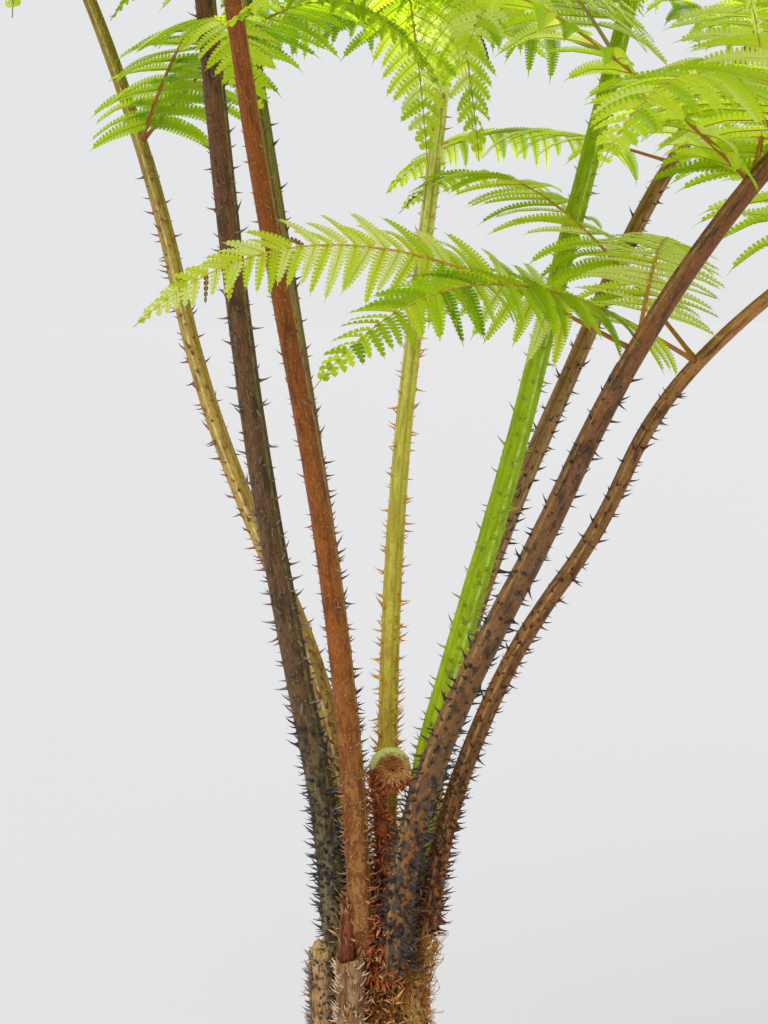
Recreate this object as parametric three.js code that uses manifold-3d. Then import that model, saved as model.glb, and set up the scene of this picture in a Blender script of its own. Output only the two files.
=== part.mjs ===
// A young spiny tree fern: a slender trunk clad in old leaf bases, nine arching fronds round its top and
// a coiled young frond in the middle. Millimetres, +Z up, origin at the middle of the flat cut at the
// ground.
import * as THREE from 'three';
import { mergeVertices } from 'three/addons/utils/BufferGeometryUtils.js';
import Module from 'manifold-3d';

const wasm = await Module();
wasm.setup();

// Driving dimensions of the trunk
const TRUNK_HEIGHT = 830;
const TRUNK_LEAN = 30;
const TRUNK_PROFILE = [[0, 100], [40, 82], [110, 64], [220, 52], [400, 43], [560, 37], [740, 37], [785, 40],
  [812, 31], [830, 15]];
const TRUNK_SIDES = 16;
const ROOT_LOBES = 5;
const ROOT_LOBE_DEPTH = 9;
const ROOT_FADE_HEIGHT = 170;
const PEG_COUNT = 20;
const PEG_FIRST_HEIGHT = 95;
const PEG_RISE = 24;
const PEG_LENGTH = 58;
const PEG_RADIUS = 12;
const PEG_LEAN = 9;
const GOLDEN_ANGLE = 137.508;

// What neighbouring solids keep between them
const CLEARANCE = 0.3;
const LEAFLET_CLEARANCE = 1;

// Driving dimensions that all fronds share
const STIPE_SIDES = 8;
const STIPE_RINGS = 12;
const STIPE_HEEL = 42;
const RACHIS_SIDES = 4;
const TIP_RADIUS = 1.6;
const LEAFLET_PAIRS = 12;
const INNER_PAIRS = 5;
const LEAFLET_CROWDING = 1.6;
const LEAFLET_SEGMENTS = [4, 4, 3, 3, 3, 2, 2, 2, 2, 2, 2, 2];
const LEAFLET_THICKNESS_SHARE = 0.0105;
const LEAFLET_MIN_THICKNESS = 2.2;
const LEAFLET_SAG = 0.3;
const LEAFLET_SWEEP = [[0, 76], [0.25, 72], [1, 56]];
const LEAFLET_LIFT = [[0, 58], [0.14, 46], [0.3, 28], [0.5, 14], [1, 10]];
const LEAFLET_LEVELLED = 0.85;
const LEAFLET_TRIALS = [[1, 1], [1, 0.6], [1, 0.35], [0.8, 0.6], [0.8, 0.35], [0.6, 0.5], [0.6, 0.25],
  [0.4, 0.4], [0.25, 0.3]];
const PINNULE_SHARE = 0.17;
const PINNULE_LEAST = 12;
const PATH_STEP = 5;

// Each frond: its heading and its turn on the way up, the middle of its foot seen from the trunk's axis,
// the lengths of its bare stipe and of its blade, its angle from upright at six places up the stipe and at
// three along the blade, its diameter at foot and neck, the length of its longest leaflet, the angles at
// which its first leaflets stand off the rachis and rise from it, how strongly leaflets droop, how far the
// blade is rolled towards its left side's rise, and how far its first pair's blades are turned to the front.
const FRONDS = [
  { name: 'right', heading: -44, turn: 0, foot: [18, -44, 762], stipe: 693, blade: 1500,
    lean: [1, 19, 29, 33, 29, 35], arch: [60, 92, 124], footGirth: 30, neckGirth: 20,
    leaflet: 562, sweep: 84, lift: 41, droop: 0.77, roll: 0, turned: 0.45, colour: 0x7c5040 },
  { name: 'far_right', heading: -16, turn: -4, foot: [50, -12, 782], stipe: 645, blade: 1350,
    lean: [4, 17, 25, 36, 23, 43], arch: [78, 102, 128], footGirth: 21, neckGirth: 14,
    leaflet: 630, sweep: 89, lift: 48, droop: 0.66, roll: 16, turned: 0.25, colour: 0x875a3e },
  { name: 'far_left', heading: 165, turn: 0, foot: [-35, 10, 808], stipe: 800, blade: 1450,
    lean: [0, 12, 26, 21, 12, 18], arch: [32, 74, 118], footGirth: 22, neckGirth: 15,
    leaflet: 500, sweep: 65, lift: 75, droop: 1.2, roll: -30, turned: 0, colour: 0xb08b4c },
  { name: 'back_right', heading: 38, turn: 0, foot: [43, 32, 803], stipe: 840, blade: 1400,
    lean: [1, 15, 26, 31, 30, 40], arch: [56, 88, 122], footGirth: 23, neckGirth: 17,
    leaflet: 465, sweep: 88, lift: 34, droop: 0.76, roll: -12, turned: 0, colour: 0x8b6250 },
  { name: 'green', heading: 22, turn: 0, foot: [30, 12, 812], stipe: 880, blade: 1500,
    lean: [0, 17, 18, 15, 16, 15], arch: [22, 74, 118], footGirth: 27, neckGirth: 19,
    leaflet: 590, sweep: 80, lift: 46, droop: 0.8, roll: 0, turned: 0, colour: 0x87ab30 },
  { name: 'left_dark', heading: -142, turn: 16, foot: [-46, -26, 778], stipe: 980, blade: 1450,
    lean: [3, 14, 13, 10, 8, 8], arch: [30, 72, 118], footGirth: 28, neckGirth: 19,
    leaflet: 560, sweep: 76, lift: 58, droop: 1, roll: 0, turned: 0, colour: 0x4b352b },
  { name: 'left_rust', heading: -114, turn: 10, foot: [-21, -43, 782], stipe: 980, blade: 1500,
    lean: [3, 12, 20, 28, 28, 24], arch: [40, 76, 116], footGirth: 25, neckGirth: 15,
    leaflet: 735, sweep: 67, lift: 87, droop: 2.2, roll: -11, turned: 0, colour: 0x8a4c2a },
  { name: 'middle', heading: 76, turn: 0, foot: [2, 38, 813], stipe: 900, blade: 1450,
    lean: [2, 4, 15, 27, 28, 24], arch: [27, 60, 108], footGirth: 21, neckGirth: 15,
    leaflet: 560, sweep: 74, lift: 58, droop: 1, roll: 0, turned: 0, colour: 0xa6a04a },
  { name: 'back_left', heading: 122, turn: 0, foot: [-23, 36, 790], stipe: 960, blade: 1480,
    lean: [4, 10, 16, 17, 17, 16], arch: [46, 84, 122], footGirth: 22, neckGirth: 15,
    leaflet: 570, sweep: 76, lift: 58, droop: 1, roll: 0, turned: 0, colour: 0x7d6a3c },
];

// The coiled young frond: a stalk from the middle of the crown and a spiral that faces the front
const CROZIER_FOOT = [0, -12, 834];
const CROZIER_STALK = 109;
const CROZIER_LEAN = -6.3;
const CROZIER_RADIUS = 9;
const COIL_RADIUS = 18;
const COIL_CORE_RADIUS = 2.5;
const COIL_TURNS = 1.5;
const COIL_TUBE = [5.5, 2];

// Dead leaf bases under the fronds: the middle of the foot seen from the trunk's axis, the length, the lean
// outwards, and the radius at foot and broken top
const STUBS = [
  { name: 'old_base_left', foot: [-43, -20, 600], length: 158, lean: 2, radii: [14, 12], colour: 0x6d5138 },
  { name: 'old_base_front', foot: [-15, -44, 585], length: 172, lean: 2, radii: [15, 14], colour: 0x9a8069 },
  { name: 'old_base_red', foot: [-34, -52, 764], length: 54, lean: -3, radii: [8, 6], colour: 0x7a2f22 },
  { name: 'old_base_right', foot: [42, -24, 600], length: 128, lean: 3, radii: [14, 12], colour: 0x7b5f35 },
  { name: 'old_base_back', foot: [12, 46, 600], length: 160, lean: 2, radii: [14, 11], colour: 0x64503a },
  { name: 'old_base_back_left', foot: [-35, 31, 600], length: 150, lean: 2, radii: [14, 10], colour: 0x5f4b38 },
  { name: 'old_base_back_right', foot: [42, 21, 590], length: 150, lean: 2, radii: [13, 10], colour: 0x6a533a },
];

const COLOURS = { trunk: 0x57402d, leaf: 0x86b92a, scale: 0x9a5a30, coil: 0x8a9a52 };
const up = new THREE.Vector3(0, 0, 1);
const east = new THREE.Vector3(1, 0, 0);
const north = new THREE.Vector3(0, 1, 0);
const south = new THREE.Vector3(0, -1, 0);
const rad = THREE.MathUtils.degToRad;

// The value at x on straight lines between [x, value] pairs
function along(pairs, x) {
  for (let i = 1; i < pairs.length; i++) {
    const [x0, v0] = pairs[i - 1];
    const [x1, v1] = pairs[i];
    const share = Math.min(Math.max((x - x0) / (x1 - x0), 0), 1);
    if (x <= x1 || i === pairs.length - 1) return v0 + (v1 - v0) * share;
  }
  return pairs[0][1];
}

function trunkAxis(z) {
  return new THREE.Vector3(TRUNK_LEAN * (z / TRUNK_HEIGHT) ** 3, 0, z);
}

function placeOnTrunk([x, y, z]) {
  return trunkAxis(z).add(new THREE.Vector3(x, y, 0));
}

// A unit vector that leans from upright towards a compass heading
function leaning(lean, heading) {
  const [t, h] = [rad(lean), rad(heading)];
  return new THREE.Vector3(Math.sin(t) * Math.cos(h), Math.sin(t) * Math.sin(h), Math.cos(t));
}

// A closed mesh as a manifold solid, and back
function solidOf(geometry) {
  geometry.deleteAttribute('normal');
  geometry.deleteAttribute('uv');
  const merged = mergeVertices(geometry, 1e-4);
  return new wasm.Manifold(new wasm.Mesh({
    numProp: 3,
    vertProperties: merged.attributes.position.array,
    triVerts: new Uint32Array(merged.index.array),
  }));
}

function geometryOf(solid) {
  const mesh = solid.getMesh();
  const geometry = new THREE.BufferGeometry();
  geometry.setAttribute('position', new THREE.BufferAttribute(mesh.vertProperties, 3));
  geometry.setIndex(new THREE.BufferAttribute(mesh.triVerts, 1));
  geometry.computeVertexNormals();
  return geometry;
}

// A limb: a cylinder whose rings are carried to frames at t from 0 to 1. frameAt gives the ring's middle,
// its two axes, the half widths along them, and how far the sides hang below the middle.
function limb(sides, segments, frameAt) {
  const geometry = new THREE.CylinderGeometry(1, 1, 1, sides, segments);
  const at = geometry.attributes.position;
  for (let i = 0; i < at.count; i++) {
    const { middle, across, over, wide, high, sag = 0 } = frameAt(at.getY(i) + 0.5);
    const [x, z] = [at.getX(i), at.getZ(i)];
    const height = z * high - Math.abs(x) * sag;
    const p = middle.clone().addScaledVector(across, x * wide).addScaledVector(over, height);
    at.setXYZ(i, p.x, p.y, p.z);
  }
  const solid = solidOf(geometry);
  if (solid.volume() < 0) throw new Error('a limb is inside out');
  return solid;
}

// A frond's midline, as points every PATH_STEP, with the direction and the frond's own left and top sides
function frondPath(frond) {
  const { stipe, blade, lean, arch, heading, turn } = frond;
  const leans = [...lean.map((v, i) => [i / (lean.length - 1) * stipe, v]),
    ...arch.map((v, i) => [stipe + (i + 1) / arch.length * blade, v])];
  const total = stipe + blade;
  const point = placeOnTrunk(frond.foot);
  const stations = [];
  for (let s = 0; s <= total; s += PATH_STEP) {
    const bearing = heading + turn * Math.min(s / stipe, 1);
    const forward = leaning(along(leans, s + PATH_STEP / 2), bearing);
    const left = leaning(90, bearing + 90);
    stations.push({ point: point.clone(), forward, left, top: left.clone().cross(forward).negate() });
    point.addScaledVector(forward, PATH_STEP);
  }
  return (s) => {
    const x = Math.min(Math.max(s / PATH_STEP, 0), stations.length - 1);
    const at = stations[Math.floor(x)];
    return { ...at, point: at.point.clone().addScaledVector(at.forward, s - Math.floor(x) * PATH_STEP) };
  };
}

function rachisRadius(frond, s) {
  const { stipe, blade, footGirth, neckGirth } = frond;
  const ends = [[0, footGirth / 2], [stipe, neckGirth / 2]];
  return along([...ends, [stipe + 0.5 * blade, neckGirth / 3.6], [stipe + blade, TIP_RADIUS]], s);
}

// A tube along a frond's midline with rings at the given places, wider by grown all round
function tube(frond, path, places, sides, grown = 0) {
  return limb(sides, places.length - 1, (t) => {
    const s = places[Math.round(t * (places.length - 1))];
    const { point, left, top } = path(s);
    const r = rachisRadius(frond, s) + grown;
    return { middle: point, across: top, over: left, wide: r, high: r };
  });
}

// The share of full size that a leaflet has at u along the blade, and a pinnule at v along its leaflet
function leafletShare(u) {
  return Math.sin(Math.PI * (0.32 + 0.68 * u)) ** 0.8;
}

function pinnuleShare(v) {
  return Math.sin(Math.PI * (0.3 + 0.7 * v)) ** 0.9;
}

// Where leaflet pair k stands along the blade, from 0 at the neck to 1 at the tip
function leafletPlace(k) {
  return 1 - (1 - k / LEAFLET_PAIRS) ** LEAFLET_CROWDING;
}

// A leaflet's midline: it leaves the rachis raised towards the frond's upper side and droops along its
// length. Its blade is turned nearly level, to face the sky, and the first pair's on towards the open front.
function leafletPath(frond, path, k, side, length) {
  const u = leafletPlace(k);
  const { point, forward, left: level, top: over } = path(frond.stipe + u * frond.blade);
  const roll = rad(frond.roll);
  const left = level.clone().multiplyScalar(Math.cos(roll)).addScaledVector(over, Math.sin(roll));
  const top = over.clone().multiplyScalar(Math.cos(roll)).addScaledVector(level, -Math.sin(roll));
  const lift = rad(along([[0, frond.lift], ...LEAFLET_LIFT.slice(1)], u));
  const sweep = rad(along([[0, frond.sweep], ...LEAFLET_SWEEP.slice(1)], u));
  const out = left.clone().multiplyScalar(side * Math.cos(lift)).addScaledVector(top, Math.sin(lift));
  const start = forward.clone().multiplyScalar(Math.cos(sweep)).addScaledVector(out, Math.sin(sweep));
  const droop = (0.7 + 0.0021 * length) * frond.droop;
  const steps = 24;
  const stations = [];
  const p = point.clone();
  const sky = new THREE.Vector3(0, k === 0 ? -frond.turned : 0, 1);
  const facing = sky.multiplyScalar(side).cross(start).normalize();
  let across = forward.clone().lerp(facing, LEAFLET_LEVELLED);
  for (let i = 0; i <= steps; i++) {
    const v = i / steps;
    const dir = start.clone().addScaledVector(up, -droop * v ** 2).normalize();
    across = across.clone().addScaledVector(dir, -across.dot(dir)).normalize();
    stations.push({ point: p.clone(), dir, across });
    p.addScaledVector(dir, length / steps);
  }
  return (v) => stations[Math.min(Math.round(v * steps), steps)];
}

// A leaflet's solid: a thin keeled blade, broad near its foot and drawn out to a point
function leafletSolid(frond, path, k, side, [shorten, narrow]) {
  const full = frond.leaflet * leafletShare(leafletPlace(k));
  const length = full * shorten;
  const at = leafletPath(frond, path, k, side, length);
  const thick = Math.max(LEAFLET_MIN_THICKNESS, length * LEAFLET_THICKNESS_SHARE) / 2;
  const broad = 0.75 * narrow * (PINNULE_LEAST + PINNULE_SHARE * full);
  const make = (grown) => limb(4, LEAFLET_SEGMENTS[k], (t) => {
    const { point, dir, across } = at(t);
    const wide = Math.max(broad * pinnuleShare(t), 1.2) * Math.min(1, 0.1 + 5 * t) + 8 * grown;
    const high = thick * (1 - 0.6 * t) + grown;
    const middle = point.clone().addScaledVector(dir, grown * (2 * t - 1));
    return { middle, across, over: across.clone().cross(dir), wide, high, sag: side * wide * LEAFLET_SAG };
  });
  return { solid: make(0), guard: make(LEAFLET_CLEARANCE) };
}

function trunkSolid(grown) {
  const column = limb(TRUNK_SIDES, 16, (t) => {
    const z = (TRUNK_HEIGHT + grown) * t ** 1.15;
    const r = along(TRUNK_PROFILE, z) + grown;
    return { middle: trunkAxis(z), across: east, over: south, wide: r, high: r };
  });
  // The root flare swells in lobes, and its foot stays flat
  return column.warp((v) => {
    const fade = Math.max(0, 1 - v[2] / ROOT_FADE_HEIGHT);
    const swell = 1 + fade * ROOT_LOBE_DEPTH / 100 * Math.cos(ROOT_LOBES * Math.atan2(v[1], v[0]));
    v[0] *= swell;
    v[1] *= swell;
  });
}

// Old leaf bases up the trunk, in the spiral in which the leaves once grew
function pegs(grown = 0) {
  return Array.from({ length: PEG_COUNT }, (_, i) => {
    const z = PEG_FIRST_HEIGHT + i * PEG_RISE;
    const bearing = i * GOLDEN_ANGLE;
    const over = leaning(90, bearing);
    const across = leaning(90, bearing + 90);
    const foot = trunkAxis(z).addScaledVector(over, along(TRUNK_PROFILE, z) - PEG_RADIUS * 0.55);
    const dir = leaning(PEG_LEAN, bearing);
    return limb(6, 1, (t) => {
      const r = PEG_RADIUS * (1 - 0.2 * t) + grown;
      const middle = foot.clone().addScaledVector(dir, (PEG_LENGTH + grown) * t);
      return { middle, across, over, wide: r, high: r };
    });
  });
}

// The largest body of a solid that cutting may have left in several
function largest(solid) {
  const bodies = solid.decompose();
  return bodies.reduce((a, b) => (b.volume() > a.volume() ? b : a));
}

function stubSolid({ foot, length, lean, radii }, grown = 0) {
  const start = placeOnTrunk(foot);
  const bearing = THREE.MathUtils.radToDeg(Math.atan2(foot[1], foot[0]));
  const dir = leaning(lean, bearing);
  const over = leaning(90, bearing);
  const across = leaning(90, bearing + 90);
  return limb(STIPE_SIDES, 2, (t) => {
    const r = radii[0] + (radii[1] - radii[0]) * t + grown;
    return { middle: start.clone().addScaledVector(dir, length * t), across, over, wide: r, high: r };
  });
}

// The coil's midline lies in the X-Z plane, and its tube thins towards the core
function coilSolid(grown = 0) {
  const rise = leaning(CROZIER_LEAN, 0).multiplyScalar(CROZIER_STALK);
  const middle = placeOnTrunk(CROZIER_FOOT).add(rise).add(new THREE.Vector3(COIL_RADIUS, 0, CLEARANCE));
  return limb(6, 24, (t) => {
    const angle = Math.PI - 2 * Math.PI * COIL_TURNS * t;
    const r = COIL_RADIUS + (COIL_CORE_RADIUS - COIL_RADIUS) * t;
    const out = new THREE.Vector3(Math.cos(angle), 0, Math.sin(angle));
    const wide = COIL_TUBE[0] + (COIL_TUBE[1] - COIL_TUBE[0]) * t + grown;
    const ring = middle.clone().addScaledVector(out, r);
    return { middle: ring, across: out, over: north, wide, high: wide * 1.6 };
  });
}

function crozierStalk(grown = 0) {
  const start = placeOnTrunk(CROZIER_FOOT);
  const dir = leaning(CROZIER_LEAN, 0);
  return limb(8, 3, (t) => {
    const r = CROZIER_RADIUS + (COIL_TUBE[0] - CROZIER_RADIUS) * t + grown;
    const middle = start.clone().addScaledVector(dir, CROZIER_STALK * t - 12 * (1 - t));
    return { middle, across: east, over: south, wide: r, high: r * (1 + 0.6 * t) };
  });
}

const plant = new THREE.Group();
const taken = [];

// Adds a solid under its name, and keeps its slightly larger guard for what must stay clear of it
function add(name, solid, colour, roughness, guard) {
  const material = new THREE.MeshStandardMaterial({ color: colour, roughness, metalness: 0 });
  const mesh = new THREE.Mesh(geometryOf(solid), material);
  mesh.name = name;
  plant.add(mesh);
  taken.push({ name, guard, box: guard.boundingBox() });
}

function boxesMeet(a, b) {
  return [0, 1, 2].every((i) => a.min[i] <= b.max[i] && b.min[i] <= a.max[i]);
}

function touches(solid, others) {
  const box = solid.boundingBox();
  return others.some((o) => boxesMeet(box, o.box) && solid.intersect(o.guard).volume() > 0);
}

function cutClear(solid) {
  const box = solid.boundingBox();
  const near = taken.filter((o) => boxesMeet(box, o.box)).map((o) => o.guard);
  return near.length ? largest(solid.subtract(wasm.Manifold.union(near))) : solid;
}

// Trunk, with its pegs fused on
add('trunk', wasm.Manifold.union([trunkSolid(0), ...pegs()]), COLOURS.trunk, 0.95,
  wasm.Manifold.union([trunkSolid(CLEARANCE), ...pegs(CLEARANCE)]));

// Stipes stand round the crown, each cut clear of the trunk and of those before it
const paths = new Map(FRONDS.map((frond) => [frond.name, frondPath(frond)]));
for (const frond of FRONDS) {
  const path = paths.get(frond.name);
  const neck = frond.stipe - frond.neckGirth;
  const rings = Array.from({ length: STIPE_RINGS }, (_, i) => neck * i / (STIPE_RINGS - 1));
  const make = (grown) => tube(frond, path, rings, STIPE_SIDES, grown);
  const heel = (grown) => limb(STIPE_SIDES, 1, (t) => {
    const { point, left, top } = path(0);
    const r = frond.footGirth / 2 * (0.55 + 0.45 * t) + grown;
    const low = trunkAxis(point.z - STIPE_HEEL);
    const outward = point.clone().sub(low).setZ(0).normalize();
    low.addScaledVector(outward, along(TRUNK_PROFILE, low.z));
    return { middle: low.lerp(point, t), across: top, over: left, wide: r, high: r };
  });
  const solid = cutClear(make(0).add(heel(0)));
  add(`stipe_${frond.name}`, solid, frond.colour, 0.6, make(CLEARANCE).add(heel(CLEARANCE)));
}

// The crozier and the dead bases fill the places left
add('crozier_stalk', cutClear(crozierStalk()), COLOURS.scale, 0.9, crozierStalk(CLEARANCE));
add('crozier_coil', cutClear(coilSolid()), COLOURS.coil, 0.8, coilSolid(CLEARANCE));
for (const stub of STUBS) {
  add(stub.name, cutClear(stubSolid(stub)), stub.colour, 0.9, stubSolid(stub, CLEARANCE));
}

// Blades: a rachis in an inner and an outer half, with leaflets fused on. Leaflets are set pair by pair
// round the whole crown. One that would touch a limb or another frond is made narrower or shorter, and is
// left out if it still would.
const halves = FRONDS.flatMap((frond) => {
  const path = paths.get(frond.name);
  const placeOf = (k) => frond.stipe + frond.blade * leafletPlace(k);
  const pairs = Array.from({ length: LEAFLET_PAIRS }, (_, k) => placeOf(k));
  const neck = frond.stipe - frond.neckGirth + CLEARANCE;
  const middle = (pairs[INNER_PAIRS - 1] + pairs[INNER_PAIRS]) / 2;
  const inner = [neck, ...pairs.slice(0, INNER_PAIRS), middle];
  const outer = [middle + CLEARANCE, ...pairs.slice(INNER_PAIRS), frond.stipe + frond.blade];
  return [['inner', inner], ['outer', outer]].map(([part, places]) => {
    const guard = tube(frond, path, places, RACHIS_SIDES, LEAFLET_CLEARANCE);
    return {
      name: `frond_${frond.name}_${part}`,
      solids: [tube(frond, path, places, RACHIS_SIDES)],
      guards: [{ guard, box: guard.boundingBox() }],
    };
  });
});
let trimmed = 0;
let leftOut = 0;
for (let k = 0; k < LEAFLET_PAIRS; k++) {
  const part = k < INNER_PAIRS ? 'inner' : 'outer';
  for (const frond of FRONDS) {
    for (const side of [1, -1]) {
      const own = halves.find((h) => h.name === `frond_${frond.name}_${part}`);
      const others = [...taken, ...halves.filter((h) => h !== own).flatMap((h) => h.guards)];
      const fits = LEAFLET_TRIALS.find((trial) => {
        const { solid, guard } = leafletSolid(frond, paths.get(frond.name), k, side, trial);
        if (touches(guard, others)) return false;
        own.solids.push(solid);
        own.guards.push({ guard, box: guard.boundingBox() });
        return true;
      });
      if (!fits) leftOut++;
      else if (fits !== LEAFLET_TRIALS[0]) trimmed++;
    }
  }
}
console.log(`${trimmed} leaflets trimmed, ${leftOut} left out`);
for (const half of halves) {
  const solid = wasm.Manifold.union(half.solids);
  add(half.name, largest(solid), COLOURS.leaf, 0.6, solid);
}

export default plant;
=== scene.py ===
import math

import bmesh
import bpy
import numpy as np
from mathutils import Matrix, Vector, noise


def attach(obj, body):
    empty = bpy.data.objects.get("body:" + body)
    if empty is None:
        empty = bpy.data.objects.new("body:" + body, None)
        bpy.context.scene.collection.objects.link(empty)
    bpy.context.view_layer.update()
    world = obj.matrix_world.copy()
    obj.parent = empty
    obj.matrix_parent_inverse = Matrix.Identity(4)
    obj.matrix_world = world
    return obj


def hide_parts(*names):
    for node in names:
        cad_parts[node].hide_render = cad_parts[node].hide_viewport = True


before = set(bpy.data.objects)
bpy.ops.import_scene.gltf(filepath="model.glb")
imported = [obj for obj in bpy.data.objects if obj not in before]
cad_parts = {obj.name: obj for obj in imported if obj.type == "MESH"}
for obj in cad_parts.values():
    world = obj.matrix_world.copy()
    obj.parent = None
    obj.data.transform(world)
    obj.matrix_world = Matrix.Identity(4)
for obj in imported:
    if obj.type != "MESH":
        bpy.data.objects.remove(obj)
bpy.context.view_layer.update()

# The trunk is a slender column of stiff dark fibre, flared into five low lobes where it enters the ground
# and tipped a little to the right as it rises. Sizes are in millimetres until a mesh stands in the plant.
MM = 0.001
TRUNK_HEIGHT = 830.0
TRUNK_LEAN = 30.0
TRUNK_RADII = [(0, 100), (40, 82), (110, 64), (220, 52), (400, 43), (560, 37), (740, 37), (785, 40),
               (812, 31), (830, 15)]
TRUNK_ROWS = 170
TRUNK_COLUMNS = 112
ROOT_LOBES = 5
ROOT_LOBE_DEPTH = 0.09
ROOT_FADE_HEIGHT = 170.0
FIBRE_RELIEF = 2.2
LUMP_RELIEF = 2.6
RELIEF_FADE = 60
LIMB_GAUGE = 0.01
EAST = Vector((1, 0, 0))
NORTH = Vector((0, 1, 0))


def along(pairs, x):
    """The value at x on straight lines between (x, value) pairs."""
    return np.interp(x, [p[0] for p in pairs], [p[1] for p in pairs])


def trunk_lean(z):
    """How far to the right the trunk's middle has leant at a height."""
    return TRUNK_LEAN * (z / TRUNK_HEIGHT) ** 3


def trunk_middle(z):
    return Vector((trunk_lean(z), 0, z))


def trunk_radius(z, turn):
    """How far the trunk's surface stands from its middle at a height and a compass angle in radians."""
    fade = np.maximum(0, 1 - z / ROOT_FADE_HEIGHT)
    return along(TRUNK_RADII, z) * (1 + fade * ROOT_LOBE_DEPTH * np.cos(ROOT_LOBES * turn))


def leaning(lean, bearing):
    """A unit vector that leans from upright towards a compass bearing, both in degrees."""
    t, b = math.radians(lean), math.radians(bearing)
    return Vector((math.sin(t) * math.cos(b), math.sin(t) * math.sin(b), math.cos(t)))


def tone(code):
    """A paint from its six hex digits, as the shader's linear light."""
    parts = [(code >> shift & 255) / 255 for shift in (16, 8, 0)]
    return (*[((c + 0.055) / 1.055) ** 2.4 if c > 0.04 else c / 12.92 for c in parts], 1.0)


def wire(tree, kind, sockets=(), **settings):
    """A shader node with its settings made, and each named socket set or joined to what feeds it."""
    made = tree.nodes.new(kind)
    for key, value in settings.items():
        setattr(made, key, value)
    for key, value in dict(sockets).items():
        if isinstance(value, bpy.types.NodeSocket):
            tree.links.new(value, made.inputs[key])
        else:
            made.inputs[key].default_value = value
    return made


def mixed(tree, share, first, second):
    """The two tones mixed by a share from 0 to 1."""
    return wire(tree, "ShaderNodeMix", {0: share, 6: first, 7: second}, data_type="RGBA").outputs[2]


def ranged(tree, value, low, high, start=0.0, end=1.0):
    """A value's run from low to high brought to start and end, and held there beyond them."""
    sockets = {0: value, 1: low, 2: high, 3: start, 4: end}
    return wire(tree, "ShaderNodeMapRange", sockets, interpolation_type="SMOOTHSTEP").outputs[0]


def clouds(tree, scale, detail, place=None, stretch=None, roughness=0.5):
    """Noise by the Object coordinates or another place, drawn out by a stretch of its scale on each axis."""
    if place is None:
        place = wire(tree, "ShaderNodeTexCoord").outputs["Object"]
    if stretch:
        place = wire(tree, "ShaderNodeMapping", {"Vector": place, "Scale": stretch}).outputs[0]
    sockets = {"Vector": place, "Scale": scale, "Detail": detail, "Roughness": roughness}
    return wire(tree, "ShaderNodeTexNoise", sockets).outputs[0]


def new_finish(name, roughness, gloss=0.25):
    """A material with its nodes, and its surface shader ready to be fed."""
    finish = bpy.data.materials.new(name)
    finish.use_nodes = True
    shader = finish.node_tree.nodes["Principled BSDF"]
    shader.inputs["Roughness"].default_value = roughness
    shader.inputs["Specular IOR Level"].default_value = gloss
    return finish, finish.node_tree, shader


def raise_grain(tree, shader, height, relief, strength):
    """Give the surface a relief, in metres, that follows a height."""
    bump = wire(tree, "ShaderNodeBump", {"Height": height, "Distance": relief, "Strength": strength})
    tree.links.new(bump.outputs[0], shader.inputs["Normal"])


def new_skin(name, labels):
    """A shader group under work, which takes a tone for each label and puts out a colour and a height."""
    skin = bpy.data.node_groups.new(name, "ShaderNodeTree")
    for label in labels:
        skin.interface.new_socket(label, in_out="INPUT", socket_type="NodeSocketColor")
    skin.interface.new_socket("Color", in_out="OUTPUT", socket_type="NodeSocketColor")
    skin.interface.new_socket("Height", in_out="OUTPUT", socket_type="NodeSocketFloat")
    return skin, wire(skin, "NodeGroupInput").outputs


def skinned(name, skin, codes, roughness, gloss, relief, strength):
    """A material that wears a skin group in tones of its own."""
    finish, tree, shader = new_finish(name, roughness, gloss)
    worn = wire(tree, "ShaderNodeGroup", node_tree=skin)
    for socket, code in zip(worn.inputs, codes, strict=True):
        socket.default_value = tone(code)
    tree.links.new(worn.outputs["Color"], shader.inputs["Base Color"])
    raise_grain(tree, shader, worn.outputs["Height"], relief, strength)
    return finish


# Dry fibrous skin, for the trunk, its rootlets and the old leaf bases: two tones in long patches, with
# darker threads that run up the plant.
dry_skin, taken = new_skin("dry_fibre", ("Main", "Second", "Dark"))
threads = clouds(dry_skin, 620, 3, stretch=(1, 1, 0.16))
colour = mixed(dry_skin, ranged(dry_skin, clouds(dry_skin, 45, 5), 0.4, 0.62), taken["Main"], taken["Second"])
colour = mixed(dry_skin, ranged(dry_skin, threads, 0.5, 0.68, 0, 0.85), colour, taken["Dark"])
wire(dry_skin, "NodeGroupOutput", {"Color": colour, "Height": threads})


def dry_finish(name, main, second, dark, relief=0.0012):
    """A dry fibrous material in three tones."""
    return skinned(name, dry_skin, (main, second, dark), 0.9, 0.25, relief, 0.7)


def grow_limb(bm, stations, columns, swell=None):
    """Wrap a grid round a limb's stations. Each has its middle, its two axes, its radius and its run along
    it. The layer named limb keeps, for the material, where a point would be on a straight limb."""
    limb = bm.verts.layers.float_vector["limb"]
    rows = len(stations) - 1
    grid = bmesh.ops.create_grid(bm, x_segments=columns, y_segments=rows, size=0.5)["verts"]
    for v in grid:
        turn, row = (v.co.x + 0.5) * math.tau, round((v.co.y + 0.5) * rows)
        middle, across, over, radius, run = stations[row]
        wide = radius * (swell(turn, run) if swell else 1)
        v.co = middle + across * (math.cos(turn) * wide) + over * (math.sin(turn) * wide)
        v[limb] = (math.cos(turn) * LIMB_GAUGE, math.sin(turn) * LIMB_GAUGE, run * MM)
    seam = [v for v in grid if v.is_boundary]
    bmesh.ops.remove_doubles(bm, verts=seam, dist=1e-4)
    grid = [v for v in grid if v.is_valid]
    rims = {e for v in grid for e in v.link_edges if e.is_boundary}
    bmesh.ops.holes_fill(bm, edges=list(rims), sides=0)


def new_limbs():
    """An empty mesh under work, with the layer that grow_limb fills."""
    bm = bmesh.new()
    bm.verts.layers.float_vector.new("limb")
    return bm


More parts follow.
